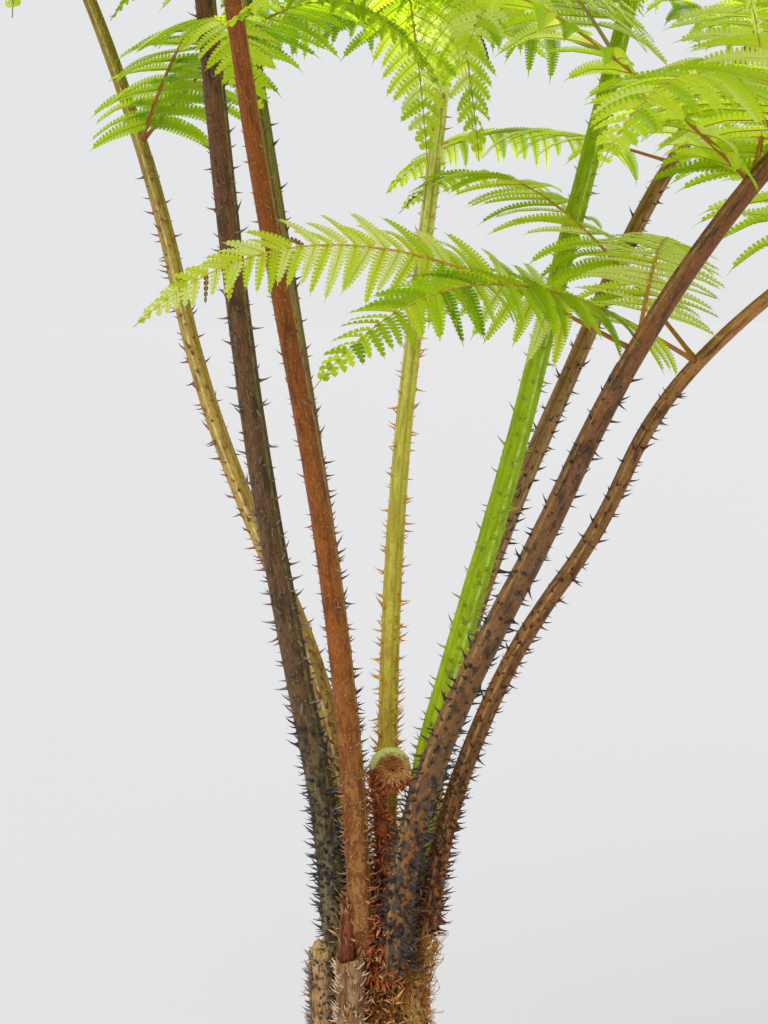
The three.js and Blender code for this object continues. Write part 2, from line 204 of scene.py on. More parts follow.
def stand(name, made, *finishes):
    """Stand a mesh in the plant, riding on its one body. The faces of one that is still under work are turned
    outwards first, and it is brought to metres."""
    mesh = made
    if isinstance(made, bmesh.types.BMesh):
        bmesh.ops.recalc_face_normals(made, faces=made.faces)
        bmesh.ops.scale(made, vec=(MM, MM, MM), verts=made.verts)
        mesh = bpy.data.meshes.new(name)
        made.to_mesh(mesh)
        made.free()
        mesh.shade_smooth()
    for finish in finishes:
        mesh.materials.append(finish)
    piece = bpy.data.objects.new(name, mesh)
    bpy.context.scene.collection.objects.link(piece)
    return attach(piece, "root")


def waves_round(turn, rise, fineness):
    """Noise round a limb, which meets itself after a full turn."""
    return noise.noise(Vector((math.cos(turn) * fineness, math.sin(turn) * fineness, rise)))


def trunk_swell(turn, z):
    """The trunk's lobes, its fine upright threads and its slow lumps, which fade out towards its tip."""
    fade = min(1.0, (TRUNK_HEIGHT - z) / RELIEF_FADE)
    relief = FIBRE_RELIEF * waves_round(turn, z / 85, 9) + LUMP_RELIEF * waves_round(turn, z / 38, 2.2)
    return (trunk_radius(z, turn) + fade * relief) / along(TRUNK_RADII, z)


trunk_work = new_limbs()
heights = [TRUNK_HEIGHT * i / TRUNK_ROWS for i in range(TRUNK_ROWS + 1)]
trunk_stations = [(trunk_middle(z), EAST, NORTH, along(TRUNK_RADII, z), z) for z in heights]
grow_limb(trunk_work, trunk_stations, TRUNK_COLUMNS, trunk_swell)
trunk_piece = stand("trunk_bark", trunk_work, dry_finish("bark_fibre", 0x4a3424, 0x6e4a2c, 0x1e150f))
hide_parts("trunk")

# Rootlets clothe the lower trunk like a mantle: wiry brown strands that creep down over one another and
# spread a little on the root flare. They stay above the ground cut.
ROOTLET_COUNT = 420
ROOTLET_STATIONS = 12
ROOTLET_SIDES = 5
ROOTLET_RADII = (0.8, 2.1)
ROOTLET_TOPS = (30, 620)
ROOTLET_RUN = (90.0, 330.0)
ROOTLET_SWAY = 0.22
ROOTLET_LIFT = 1.3
GROUND_CLEAR = 3


def mesh_from(name, points, corners, counts, limb=None, paints=None, smooth=True):
    """A mesh in metres from arrays: points in millimetres, all the faces' corners, and corners a face."""
    mesh = bpy.data.meshes.new(name)
    mesh.vertices.add(len(points))
    mesh.vertices.foreach_set("co", (np.asarray(points, np.float32) * MM).ravel())
    mesh.loops.add(len(corners))
    mesh.loops.foreach_set("vertex_index", np.asarray(corners, np.int32))
    mesh.polygons.add(len(counts))
    mesh.polygons.foreach_set("loop_start", np.concatenate([[0], np.cumsum(counts)[:-1]]).astype(np.int32))
    if paints is not None:
        mesh.polygons.foreach_set("material_index", np.asarray(paints, np.int32))
    mesh.polygons.foreach_set("use_smooth", np.full(len(counts), smooth))
    if limb is not None:
        places = mesh.attributes.new("limb", "FLOAT_VECTOR", "POINT").data
        places.foreach_set("vector", limb.astype(np.float32).ravel())
    mesh.update(calc_edges=True)
    return mesh


def stand_sown(name, made, *finishes):
    """Stand what is kept as arrays: points, corners, counts, limb places and, of several batches, paints."""
    return stand(name, mesh_from(name, *made), *finishes)


def unit(v):
    return v / np.maximum(np.linalg.norm(v, axis=-1, keepdims=True), 1e-9)


def strands(lines, radii, sides):
    """Thin round strands along many lines at once, closed at both ends: points, corners, counts and the
    straight-limb places. lines is count x stations x 3, and radii is count x stations."""
    count, stations = lines.shape[:2]
    ahead = unit(np.gradient(lines, axis=1))
    # A strand's ring is turned from a direction that no strand runs in
    guide = unit(np.cross(lines[:, -1] - lines[:, 0], [0.31, 0.22, 0.93]))[:, None]
    across = unit(guide - ahead * (guide * ahead).sum(-1, keepdims=True))
    over = np.cross(ahead, across)
    turns = np.arange(sides) * math.tau / sides
    ring = across[:, :, None] * np.cos(turns)[:, None] + over[:, :, None] * np.sin(turns)[:, None]
    points = lines[:, :, None] + ring * radii[:, :, None, None]
    run = np.broadcast_to(np.linspace(0, 1, stations)[None, :, None], (count, stations, sides))
    round_it = [np.broadcast_to(wave * LIMB_GAUGE, run.shape) for wave in (np.cos(turns), np.sin(turns))]
    limb = np.stack([*round_it, run], -1)
    here = np.arange(sides)
    there = (here + 1) % sides
    quad = np.stack([here, there, there + sides, here + sides], -1)
    quads = quad[None] + (np.arange(stations - 1) * sides)[:, None, None]
    strand = np.concatenate([quads.ravel(), here[::-1], here + (stations - 1) * sides])
    corners = strand[None] + (np.arange(count) * stations * sides)[:, None]
    counts = np.tile([4] * ((stations - 1) * sides) + [sides, sides], count)
    return points.reshape(-1, 3), corners.ravel(), counts, limb.reshape(-1, 3)


def lay_on_trunk(turn, z, proud):
    """Points on the trunk's surface, so many millimetres proud of it."""
    radius = trunk_radius(z, turn) + proud
    return np.stack([trunk_lean(z) + radius * np.cos(turn), radius * np.sin(turn), z], -1)


chance = np.random.default_rng(11)
each, all_along = (ROOTLET_COUNT, 1), (ROOTLET_COUNT, ROOTLET_STATIONS)
steps = np.linspace(0, 1, ROOTLET_STATIONS)[None]
top = chance.uniform(*ROOTLET_TOPS, each)
fall = np.minimum(chance.uniform(*ROOTLET_RUN, each), top - GROUND_CLEAR)
turn = chance.uniform(0, math.tau, each)
sway = np.cumsum(chance.normal(0, 1, all_along), 1) * ROOTLET_SWAY / 3
thick = chance.uniform(*ROOTLET_RADII, each)
proud = thick * 0.5 + np.abs(chance.normal(0, ROOTLET_LIFT, all_along)) * np.sin(np.pi * steps)
rootlet_lines = lay_on_trunk(turn + sway * steps, top - fall * steps, proud)
rootlets = strands(rootlet_lines, thick * (0.25 + np.sin(np.pi * steps) ** 0.5), ROOTLET_SIDES)
wiry = dry_finish("rootlet_fibre", 0x573c26, 0x745234, 0x241812)
rootlet_piece = stand_sown("trunk_rootlets", rootlets, wiry)
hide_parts("trunk")

# Old leaf bases stay on the trunk in the spiral in which the leaves grew. Those low down are short worn
# pegs, and those under the crown are longer, ribbed and broken off ragged, with a hollow in the break.
PEG_COUNT = 20
PEG_FIRST_HEIGHT = 95.0
PEG_RISE = 24.0
PEG_LENGTH = 58.0
PEG_RADII = (12.0, 9.6)
PEG_SINK = 0.55
PEG_LEAN = 9.0
GOLDEN_ANGLE = 137.508
BASE_HEEL = (4.6, 1.3)
BASE_HEEL_STATIONS = 4
BASE_WALL_STATIONS = 13
BASE_HOLLOW_STATIONS = 5
BASE_HOLLOW_DEPTH = 9
BASE_COLUMNS = 22
BASE_RIBS = 7
BASE_RIB_RELIEF = 0.05
BASE_UNEVENNESS = 0.11
BASE_RAGGED_FROM = 0.86
BASE_RAGGEDNESS = 10
OLD_BASES = {
    "old_base_left": dict(foot=(-43, -20, 600), length=158, lean=2, radii=(14, 12),
                          tones=(0x96704a, 0xbe9a6c, 0x44301f)),
    "old_base_front": dict(foot=(-15, -44, 585), length=172, lean=2, radii=(15, 14),
                           tones=(0x7e583a, 0x9c7a58, 0x3e2a1a)),
    "old_base_red": dict(foot=(-34, -52, 764), length=54, lean=-3, radii=(8, 6),
                         tones=(0x602a1a, 0x80442c, 0x32140c)),
    "old_base_right": dict(foot=(42, -24, 600), length=128, lean=3, radii=(14, 12),
                           tones=(0x8c6a3c, 0xb08a50, 0x3a2a1c)),
    "old_base_back": dict(foot=(12, 46, 600), length=160, lean=2, radii=(14, 11),
                          tones=(0x6e523a, 0x94704c, 0x2e2018)),
    "old_base_back_left": dict(foot=(-35, 31, 600), length=150, lean=2, radii=(14, 10),
                               tones=(0x66503c, 0x8c6c4c, 0x2c2018)),
    "old_base_back_right": dict(foot=(42, 21, 590), length=150, lean=2, radii=(13, 10),
                                tones=(0x705638, 0x93754c, 0x2e2318)),
}


def between(ends, share):
    return ends[0] + (ends[1] - ends[0]) * share


def broken_base(bm, start, direction, outward, length, radii, seed):
    """A ribbed stump with a ragged top that is hollowed where the stalk broke away."""
    side = outward.cross(direction).normalized()
    stations = []
    # Its root runs out into the trunk
    for i in range(BASE_HEEL_STATIONS):
        short = 1 - i / BASE_HEEL_STATIONS
        down, inward = BASE_HEEL[0] * short, BASE_HEEL[1] * short ** 1.3
        middle = start - direction * (radii[0] * down) - outward * (radii[0] * inward)
        stations.append((middle, outward, side, radii[0] * (1 - 0.4 * short), -radii[0] * down))
    for i in range(BASE_WALL_STATIONS + BASE_HOLLOW_STATIONS + 1):
        wall = min(i / BASE_WALL_STATIONS, 1)
        dip = max(0, i - BASE_WALL_STATIONS) / BASE_HOLLOW_STATIONS
        rise = length * wall - BASE_HOLLOW_DEPTH * math.sin(dip * math.pi / 2)
        radius = between(radii, wall) * (1 - 0.85 * dip)
        stations.append((start + direction * rise, outward, side, radius, length * wall + 8 * dip))

    def swell(turn, run):
        unevenness = BASE_UNEVENNESS * noise.noise(Vector((turn * 2.6, seed, run / 22)))
        return 1 + BASE_RIB_RELIEF * math.cos(BASE_RIBS * turn + seed) + unevenness

    grow_limb(bm, stations, BASE_COLUMNS, swell)
    # The rim breaks off at unequal heights
    for v in bm.verts:
        offset = v.co - start
        height = offset.dot(direction)
        if height > length * BASE_RAGGED_FROM and (offset - direction * height).length < radii[0] * 1.3:
            turn = math.atan2(offset.dot(side), offset.dot(outward))
            v.co += direction * (BASE_RAGGEDNESS * waves_round(turn, seed, 1.7))


peg_work = new_limbs()
for i in range(PEG_COUNT):
    z = PEG_FIRST_HEIGHT + i * PEG_RISE
    bearing = i * GOLDEN_ANGLE
    outward = leaning(90, bearing)
    foot = trunk_middle(z) + outward * (along(TRUNK_RADII, z) - PEG_RADII[0] * PEG_SINK)
    one = new_limbs()
    broken_base(one, foot, leaning(PEG_LEAN, bearing), outward, PEG_LENGTH, PEG_RADII, i * 1.7)
    kept = bpy.data.meshes.new("peg")
    one.to_mesh(kept)
    one.free()
    peg_work.from_mesh(kept)
    bpy.data.meshes.remove(kept)
peg_piece = stand("trunk_pegs", peg_work, dry_finish("peg_fibre", 0x5c432e, 0x7d5c3c, 0x241a13))
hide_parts("trunk")


def base_axes(base):
    """Where an old base starts, the way it points, and the way it faces from the trunk."""
    x, y, z = base["foot"]
    bearing = math.degrees(math.atan2(y, x))
    return trunk_middle(z) + Vector((x, y, 0)), leaning(base["lean"], bearing), leaning(90, bearing)


for name, base in OLD_BASES.items():
    work = new_limbs()
    broken_base(work, *base_axes(base), base["length"], base["radii"], base["foot"][2] + base["foot"][0])
    piece = stand(name + "_stump", work, dry_finish(name + "_fibre", *base["tones"], relief=0.0018))
    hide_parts(name)

# Nine leaf stalks rise in a vase from the crown. Each is a tough rod, grooved along its upper side, with a
# broken pale line of breathing pores down each flank, and it fades from one tone to another on its way up.
PATH_STEP = 5.0
HEEL = 42.0
HEEL_STATIONS = 9
HEEL_TAPER = (0.55, 1.0)
HEEL_SINK = 2
TIP_RADIUS = 1.6
STALK_STATIONS = 110
STALK_COLUMNS = 28
GROOVE = (0.13, 0.55, 0.2)
FLANK = (0.05, 1.5, 0.16)
SLOW_WAVE = 0.035
# heading, turn, lean, arch, sweep, lift and roll are in degrees: lean at six places up the bare stalk, and
# arch at three along the blade above it. skin holds the tones Main, Dark, Pale, Foot, Neck and Scurf, line
# is the flank lines' tone, and prickle and low_prickle are the tones at a prickle's root and point. green
# places the leaves from dark at 0 to pale at 1, and hang is their pinnules' droop. turned, slim and bare
# are the first leaflets' own: how far they face the front, their width, and how much of the rib is bare.
USUAL_FROND = dict(turn=0, sweep=76, lift=58, droop=1, roll=0, hang=0.8, spiny=1, turned=0, slim=1, bare=0.15)
FRONDS = {
    "right": dict(
        heading=-44, foot=(18, -44, 762), stipe=693, blade=1500, lean=(1, 19, 29, 33, 29, 35),
        arch=(60, 92, 124), foot_girth=30, neck_girth=20, leaflet=562, sweep=84, lift=41, droop=0.77,
        turned=0.45, slim=0.76, hang=0.45, green=0.76, slot="stipe_brown", line=0x9c7c48,
        skin=(0x7c5838, 0x44342a, 0xa8845c, 0x3c3e3e, 0x8c5634, 0x94602e), prickle=(0x4a3a34, 0x26262c)),
    "far_right": dict(
        heading=-16, turn=-4, foot=(50, -12, 782), stipe=645, blade=1350, lean=(4, 17, 25, 36, 23, 43),
        arch=(78, 102, 128), foot_girth=21, neck_girth=14, leaflet=630, sweep=89, lift=48, droop=0.66,
        roll=16, turned=0.25, slim=0.8, hang=0.7, green=0.74, slot="stipe_brown", line=0xb4905c,
        skin=(0x8a6038, 0x4e3020, 0xcca070, 0x4c3626, 0xcc8c54, 0xa4662a), prickle=(0x6c3c30, 0x4a2824)),
    "far_left": dict(
        heading=165, foot=(-35, 10, 808), stipe=800, blade=1450, lean=(0, 12, 26, 21, 12, 18),
        arch=(32, 74, 118), foot_girth=22, neck_girth=15, leaflet=500, sweep=65, lift=75, droop=1.2, roll=-30,
        bare=0.07, hang=0.9, green=0.8, slot="stipe_golden", line=0xd8c88c,
        skin=(0xb4944a, 0x86662f, 0xdcc484, 0xa8863c, 0xa48e40, 0x8a6c32), prickle=(0xa86850, 0x7c4438)),
    "back_right": dict(
        heading=38, foot=(43, 32, 803), stipe=840, blade=1400, lean=(1, 15, 26, 31, 30, 40),
        arch=(56, 88, 122), foot_girth=23, neck_girth=17, leaflet=465, sweep=88, lift=34, droop=0.76,
        roll=-12, hang=1.1, green=0.6, slot="stipe_brown", line=0xb09068,
        skin=(0x9c7450, 0x6a4a34, 0xc49c74, 0x94904a, 0xa07248, 0x84583c), prickle=(0x5a3c34, 0x33262a)),
    "green": dict(
        heading=22, foot=(30, 12, 812), stipe=880, blade=1500, lean=(0, 17, 18, 15, 16, 15),
        arch=(22, 74, 118), foot_girth=27, neck_girth=19, leaflet=590, sweep=80, lift=46, droop=0.8,
        hang=0.7, green=0.7, slot="stipe_green", line=0xc0d874,
        skin=(0x9cb80c, 0x829a08, 0xbccc40, 0xaaae20, 0x9ab60c, 0x8aa00c), prickle=(0xa8b838, 0xa08828)),
    "left_dark": dict(
        heading=-142, turn=16, foot=(-46, -26, 778), stipe=980, blade=1450, lean=(3, 14, 13, 10, 8, 8),
        arch=(30, 72, 118), foot_girth=28, neck_girth=19, leaflet=560, green=0.5, slot="stipe_dark",
        line=0x7c7c48, skin=(0x664a32, 0x3a2a20, 0x8c8254, 0x706648, 0x70452f, 0x3c3024),
        prickle=(0x6a5448, 0x7c6c66), low_prickle=(0x3c3c38, 0x343840)),
    "left_rust": dict(
        heading=-114, turn=10, foot=(-21, -43, 782), stipe=980, blade=1500, lean=(3, 12, 20, 28, 28, 24),
        arch=(40, 76, 116), foot_girth=25, neck_girth=15, leaflet=735, sweep=67, lift=87, droop=2.2, roll=-11,
        green=0.85, spiny=0.62, slot="stipe_rust", line=0xa89838,
        skin=(0x945624, 0x6a381a, 0xc89458, 0x906a3c, 0x8c4c1c, 0x74401f), prickle=(0x8c5034, 0x9c6c50)),
    "middle": dict(
        heading=76, foot=(2, 38, 813), stipe=900, blade=1450, lean=(2, 4, 15, 27, 28, 24),
        arch=(27, 60, 108), foot_girth=21, neck_girth=15, leaflet=560, sweep=74, green=0.66,
        slot="stipe_olive", line=0xdcd880,
        # The Neck tone here, 0xf8f89c, is painted sunlight: the upper stalk is made near white as if brightly
        # lit
        skin=(0xc8c050, 0xa89430, 0xe4dc84, 0xc89a3c, 0xf8f89c, 0xb07c28), prickle=(0xe8b440, 0xd89030)),
    "back_left": dict(
        heading=122, foot=(-23, 36, 790), stipe=960, blade=1480, lean=(4, 10, 16, 17, 17, 16),
        arch=(46, 84, 122), foot_girth=22, neck_girth=15, leaflet=570, green=0.6,
        slot="stipe_olive", line=0xb0a868,
        skin=(0x8c7444, 0x60482c, 0xb09c68, 0x6c5434, 0x8c8440, 0x7c5030), prickle=(0x6c4c34, 0x44302a)),
}
FRONDS = {name: USUAL_FROND | own for name, own in FRONDS.items()}


def frond_path(frond):
    """The frond's midline every 5 mm: points, and its own forward, left and upper directions there."""
    stipe, blade = frond["stipe"], frond["blade"]
    s = np.arange(0, stipe + blade + 0.1, PATH_STEP)
    stops = [stipe * i / 5 for i in range(6)] + [stipe + blade * i / 3 for i in (1, 2, 3)]
    lean = np.radians(np.interp(s + PATH_STEP / 2, stops, frond["lean"] + frond["arch"]))
    bearing = np.radians(frond["heading"] + frond["turn"] * np.minimum(s / stipe, 1))
    forward = np.stack([np.sin(lean) * np.cos(bearing), np.sin(lean) * np.sin(bearing), np.cos(lean)], -1)
    left = np.stack([-np.sin(bearing), np.cos(bearing), np.zeros_like(s)], -1)
    x, y, z = frond["foot"]
    start = np.array(trunk_middle(z)) + [x, y, 0]
    points = start + np.concatenate([[[0, 0, 0]], np.cumsum(forward, 0)[:-1]]) * PATH_STEP
    return points, forward, left, np.cross(forward, left)


def at_run(path, s):
    """The path's point and three directions at a run, or at an array of runs, from the foot."""
    i = np.clip(np.floor(np.asarray(s) / PATH_STEP).astype(int), 0, len(path[0]) - 1)
    points, forward, left, top = (part[i] for part in path)
    return points + forward * (s - i * PATH_STEP)[..., None], forward, left, top


def limb_radius(frond, s):
    """Half the stalk's thickness at a run from the foot, on along the blade's own midrib."""
    stipe, blade = frond["stipe"], frond["blade"]
    foot, neck = frond["foot_girth"], frond["neck_girth"]
    tapering = (0, foot / 2), (stipe, neck / 2), (stipe + blade / 2, neck / 3.6), (stipe + blade, TIP_RADIUS)
    return along(tapering, s)


def dent(turn, depth, place, breadth):
    """A soft hollow on both sides of a limb, at a place in radians from its upper side."""
    off_top = abs((turn + math.pi) % math.tau - math.pi)
    return depth * math.exp(-((off_top - place) / breadth) ** 2)


def stalk_swell(turn, run):
    """Two grooves beside a low keel on the upper side, flat flanks, and slow unevenness along the run."""
    return 1.02 - dent(turn, *GROOVE) - dent(turn, *FLANK) + SLOW_WAVE * waves_round(turn, run / 36, 1.5)


def limb_place(tree):
    """Where a point would be on a straight limb, and the three parts of that."""
    place = wire(tree, "ShaderNodeAttribute", attribute_name="limb").outputs["Vector"]
    return place, wire(tree, "ShaderNodeSeparateXYZ", {"Vector": place}).outputs


def worked(tree, operation, *values):
    """What a Math node makes of one or two values."""
    return wire(tree, "ShaderNodeMath", dict(enumerate(values)), operation=operation).outputs[0]


# The stalks' skin: mottling, pale flecks and the flank lines follow the limb, the tone at the foot gives
# way to the tone at the neck, patches of scurf cling to the lower part, and the grooves get painted shade.
STALK_TONES = ("Main", "Dark", "Pale", "Foot", "Neck", "Scurf", "Line")
stalk_skin, taken = new_skin("stalk_skin", STALK_TONES)
place, parts = limb_place(stalk_skin)
mottle = clouds(stalk_skin, 150, 5, place, (1, 1, 0.22))
grain = clouds(stalk_skin, 1100, 3, place, (1, 1, 0.07))
speck = clouds(stalk_skin, 430, 4, place, (1, 1, 0.6))
dash = clouds(stalk_skin, 85, 4, place, (0.1, 0.1, 1))
scurf = clouds(stalk_skin, 105, 6, place, (1, 1, 0.5), 0.62)
fleck_way = wire(stalk_skin, "ShaderNodeMapping", {"Vector": place, "Scale": (1, 1, 0.5)}).outputs[0]
fleck = wire(stalk_skin, "ShaderNodeTexVoronoi", {"Vector": fleck_way, "Scale": 330}).outputs["Distance"]
off_flank = worked(stalk_skin, "ABSOLUTE", parts["X"])
off_keel = worked(stalk_skin, "ABSOLUTE", parts["Y"])
on_line = worked(stalk_skin, "MULTIPLY", ranged(stalk_skin, off_flank, 0.0008, 0.0017, 1, 0),
                 ranged(stalk_skin, dash, 0.42, 0.6, 0.3, 0.9))
clinging = worked(stalk_skin, "MULTIPLY", ranged(stalk_skin, scurf, 0.5, 0.57, 0, 0.9),
                  ranged(stalk_skin, parts["Z"], 0.08, 0.42, 1, 0.12))
# Painted shade: the two grooves beside the keel on the upper side are darkened towards the Dark tone
in_groove = worked(stalk_skin, "MULTIPLY", ranged(stalk_skin, off_keel, 0.0036, 0.005, 0, 0.7),
                   ranged(stalk_skin, off_keel, 0.0056, 0.0074, 1, 0))
groove_painted_shade = worked(stalk_skin, "MULTIPLY", in_groove, ranged(stalk_skin, parts["X"], 0.003, 0.006))
colour = taken["Main"]
for share, label in (
        (ranged(stalk_skin, parts["Z"], 0.35, 0.9), "Neck"),
        (ranged(stalk_skin, parts["Z"], 0.04, 0.3, 0.85, 0), "Foot"),
        (ranged(stalk_skin, mottle, 0.45, 0.66, 0, 0.85), "Dark"),
        (ranged(stalk_skin, grain, 0.52, 0.75, 0, 0.45), "Pale"),
        (clinging, "Scurf"),
        (ranged(stalk_skin, speck, 0.54, 0.66, 0, 0.6), "Dark"),
        (ranged(stalk_skin, fleck, 0.1, 0.22, 0.65, 0), "Pale"),
        (groove_painted_shade, "Dark"),
        (on_line, "Line")):
    colour = mixed(stalk_skin, share, colour, taken[label])
wire(stalk_skin, "NodeGroupOutput", {"Color": colour, "Height": grain})


def stations_between(frond, path, start, end, count, thin=0.0):
    """Stations for grow_limb along a frond, its upper side first."""
    stations = []
    for s in np.linspace(start, end, count):
        point, forward, left, top = at_run(path, s)
        stations.append((Vector(point), Vector(top), Vector(left), limb_radius(frond, s) - thin, s))
    return stations


paths = {name: frond_path(frond) for name, frond in FRONDS.items()}
stalk_finishes = {}
for name, frond in FRONDS.items():
    path = paths[name]
    foot = Vector(path[0][0])
    low = trunk_middle(foot.z - HEEL)
    outward = Vector((foot.x - low.x, foot.y - low.y, 0)).normalized()
    low += outward * (along(TRUNK_RADII, low.z) - HEEL_SINK)
    left, top = Vector(path[2][0]), Vector(path[3][0])
    heel = []
    for i in range(HEEL_STATIONS):
        share = i / HEEL_STATIONS
        radius = frond["foot_girth"] / 2 * between(HEEL_TAPER, share)
        heel.append((low.lerp(foot, share), top, left, radius, (share - 1) * HEEL))
    work = new_limbs()
    neck = frond["stipe"] - frond["neck_girth"]
    grow_limb(work, heel + stations_between(frond, path, 0, neck, STALK_STATIONS), STALK_COLUMNS, stalk_swell)
    tones = (*frond["skin"], frond["line"])
    stalk_finishes[name] = skinned("stalk_" + name, stalk_skin, tones, 0.5, 0.15, 0.0006, 0.6)
    piece = stand("stalk_" + name, work, stalk_finishes[name])
    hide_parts("stipe_" + name)

# Prickles stand on every stalk: stout at the root and drawn to a fine point that hooks upwards. They are
# hard outgrowths of the skin, long and crowded near the foot, and fewer and shorter towards the blade.
PRICKLE_ROWS = (50, 76, 100, 126, 153, 180, -153, -126, -100, -76, -50)
PRICKLE_SPACING = [(0, 6), (110, 9), (250, 18), (450, 28), (1000, 38)]
PRICKLE_LENGTH = [(0, 15), (200, 13), (500, 11.5), (1000, 9.5)]
PRICKLE_HEIGHTS = [(0, -0.08), (0.34, 0.2), (0.67, 0.6), (1, 1)]
PRICKLE_WIDTHS = [(0, 0.22), (0.34, 0.1), (0.67, 0.052), (1, 0.004)]
PRICKLE_HOOK = 0.24
PRICKLE_DEPTH = 0.95
PRICKLE_STARTS = (-HEEL / 2, 12)
PRICKLE_GAPS = (0.55, 1.5)
PRICKLE_SIZES = (0.5, 1.2)
PRICKLE_ROW_STRAY = 9
PRICKLE_TILT = (0.2, 0.32)
PRICKLE_STRAY = 0.22
NECK_CLEAR = 6
USUAL_GIRTH = 26
LOW_PRICKLES = 230.0
PRICKLE_GREY = 0x8a8078


def seed_of(bm):
    """A small shape's points, all its faces' corners, and corners a face, as arrays. Its mesh is freed."""
    bm.verts.index_update()
    points = np.array([v.co for v in bm.verts])
    corners = np.array([v.index for f in bm.faces for v in f.verts])
    counts = np.array([len(f.verts) for f in bm.faces])
    bm.free()
    return points, corners, counts


def prickle_seed():
    """One prickle of unit length, rooted in the x-y plane."""
    bm = bmesh.new()
    bmesh.ops.create_cone(bm, segments=5, radius1=1, radius2=0, depth=1, cap_ends=True)
    upright = [e for e in bm.edges if abs(e.verts[0].co.z - e.verts[1].co.z) > 0.5]
    bmesh.ops.subdivide_edges(bm, edges=upright, cuts=2, use_grid_fill=True)
    for v in bm.verts:
        rise = v.co.z + 0.5
        v.co.xy = Vector(v.co.xy).normalized() if rise < 0.99 else (0, 0)
        wide, height = along(PRICKLE_WIDTHS, rise), along(PRICKLE_HEIGHTS, rise)
        v.co = (v.co.x * wide + PRICKLE_HOOK * max(height, 0) ** 2.2, v.co.y * wide, height)
    bmesh.ops.recalc_face_normals(bm, faces=bm.faces)
    return seed_of(bm)


def sow(seed, roots, spike, guide, scales):
    """Copies of a small seed at many roots, each upright along its spike and leaning towards its guide."""
    points, corners, counts = seed
    spike = unit(spike)
    first = unit(guide - spike * (guide * spike).sum(-1, keepdims=True))
    frames = np.stack([first, np.cross(spike, first), spike], 1)
    placed = np.einsum("pk,nkj->npj", points, frames * scales[:, :, None]) + roots[:, None]
    shifted = corners[None] + (np.arange(len(roots)) * len(points))[:, None]
    limb = np.zeros((len(roots), len(points), 3))
    limb[:, :, 2] = np.clip(points[:, 2], 0, 1)
    return placed.reshape(-1, 3), shifted.ravel(), np.tile(counts, len(roots)), limb.reshape(-1, 3)


def strewn(count, ways, stray=0.0):
    """Directions made of some ways, each with its mean share and its spread, that stray from their sum."""
    spike = sum(way * chance.normal(*share, (count, 1)) for way, share in ways)
    return spike + chance.normal(0, stray, (count, 3)) if stray else spike


def fading_finish(name, roughness, root, bands, patches):
    """A material that starts in the root's tone and takes on each band's between its two runs along the limb.
    patches holds one more tone, the scale and detail of its noise, and the range of it that shows."""
    finish, tree, shader = new_finish(name, roughness)
    run = limb_place(tree)[1]["Z"]
    colour = tone(root)
    for code, *spread in bands:
        colour = mixed(tree, ranged(tree, run, *spread), colour, tone(code))
    code, scale, detail, *spread = patches
    colour = mixed(tree, ranged(tree, clouds(tree, scale, detail), *spread), colour, tone(code))
    tree.links.new(colour, shader.inputs["Base Color"])
    return finish


def prickle_finish(name, root, point):
    """A prickle's glossy material: its stalk's tone at the root, another to the point."""
    return fading_finish(name, 0.32, root, [(point, 0.05, 0.5)], (PRICKLE_GREY, 120, 2, 0.5, 0.7, 0, 0.4))


def on_stalk(name, runs, turns, depth):
    """Roots at a depth under a stalk's skin, as a share of its radius, and the ways out and forward there."""
    above = np.maximum(runs, 0)
    points, forward, left, top = at_run(paths[name], above)
    points += forward * np.minimum(runs, 0)[:, None]
    outward = top * np.cos(turns) + left * np.sin(turns)
    return points + outward * limb_radius(FRONDS[name], above)[:, None] * depth, outward, forward


prickle = prickle_seed()
chance = np.random.default_rng(23)
for name, frond in FRONDS.items():
    runs, turns = [], []
    for row in PRICKLE_ROWS:
        s = chance.uniform(*PRICKLE_STARTS)
        while s < frond["stipe"] - frond["neck_girth"] - NECK_CLEAR:
            runs.append(s)
            turns.append(math.radians(row + chance.normal(0, PRICKLE_ROW_STRAY)))
            s += along(PRICKLE_SPACING, s) * chance.uniform(*PRICKLE_GAPS) / frond["spiny"]
    runs, turns, count = np.array(runs), np.array(turns)[:, None], len(runs)
    roots, outward, forward = on_stalk(name, runs, turns, PRICKLE_DEPTH)
    spike = outward + strewn(count, [(forward, PRICKLE_TILT)], PRICKLE_STRAY)
    size = along(PRICKLE_LENGTH, runs) * chance.uniform(*PRICKLE_SIZES, count)
    size *= (frond["foot_girth"] / USUAL_GIRTH) ** 0.5 * frond["spiny"] ** 0.6
    made = sow(prickle, roots, spike, forward, size[:, None])
    finish = prickle_finish("prickle_" + name, *frond["prickle"])
    low_finish = prickle_finish("prickle_low_" + name, *frond.get("low_prickle", frond["prickle"]))
    paints = np.repeat((runs < LOW_PRICKLES).astype(int), len(prickle[2]))
    piece = stand_sown("prickles_" + name, (*made, paints), finish, low_finish)

# The old bases keep the prickles of the stalks they once were: weathered ones on the flanks that face away
# from the trunk. Each base has their count, their length, and their tones at the root and the point.
BASE_PRICKLES = {
    "old_base_left": (170, 11, (0x5c4c44, 0x706a68)),
    "old_base_front": (190, 9.5, (0x94745c, 0xd4bca4)),
    "old_base_right": (70, 11, (0x6c5238, 0x2c241c)),
    "old_base_back": (70, 11, (0x6c5238, 0x30261e)),
    "old_base_back_left": (60, 11, (0x6c5238, 0x30261e)),
    "old_base_back_right": (60, 11, (0x6c5238, 0x30261e)),
}
BASE_PRICKLE_TURN = 1.9
BASE_PRICKLE_RISE = (0.08, 0.97)
BASE_PRICKLE_DEPTH = 0.93
BASE_PRICKLE_SHAPE = (1.15, 1.15, 1)
BASE_PRICKLE_SIZES = (0.65, 1.15)
BASE_PRICKLE_TILT = (0.45, 0.2)
BASE_PRICKLE_STRAY = 0.12


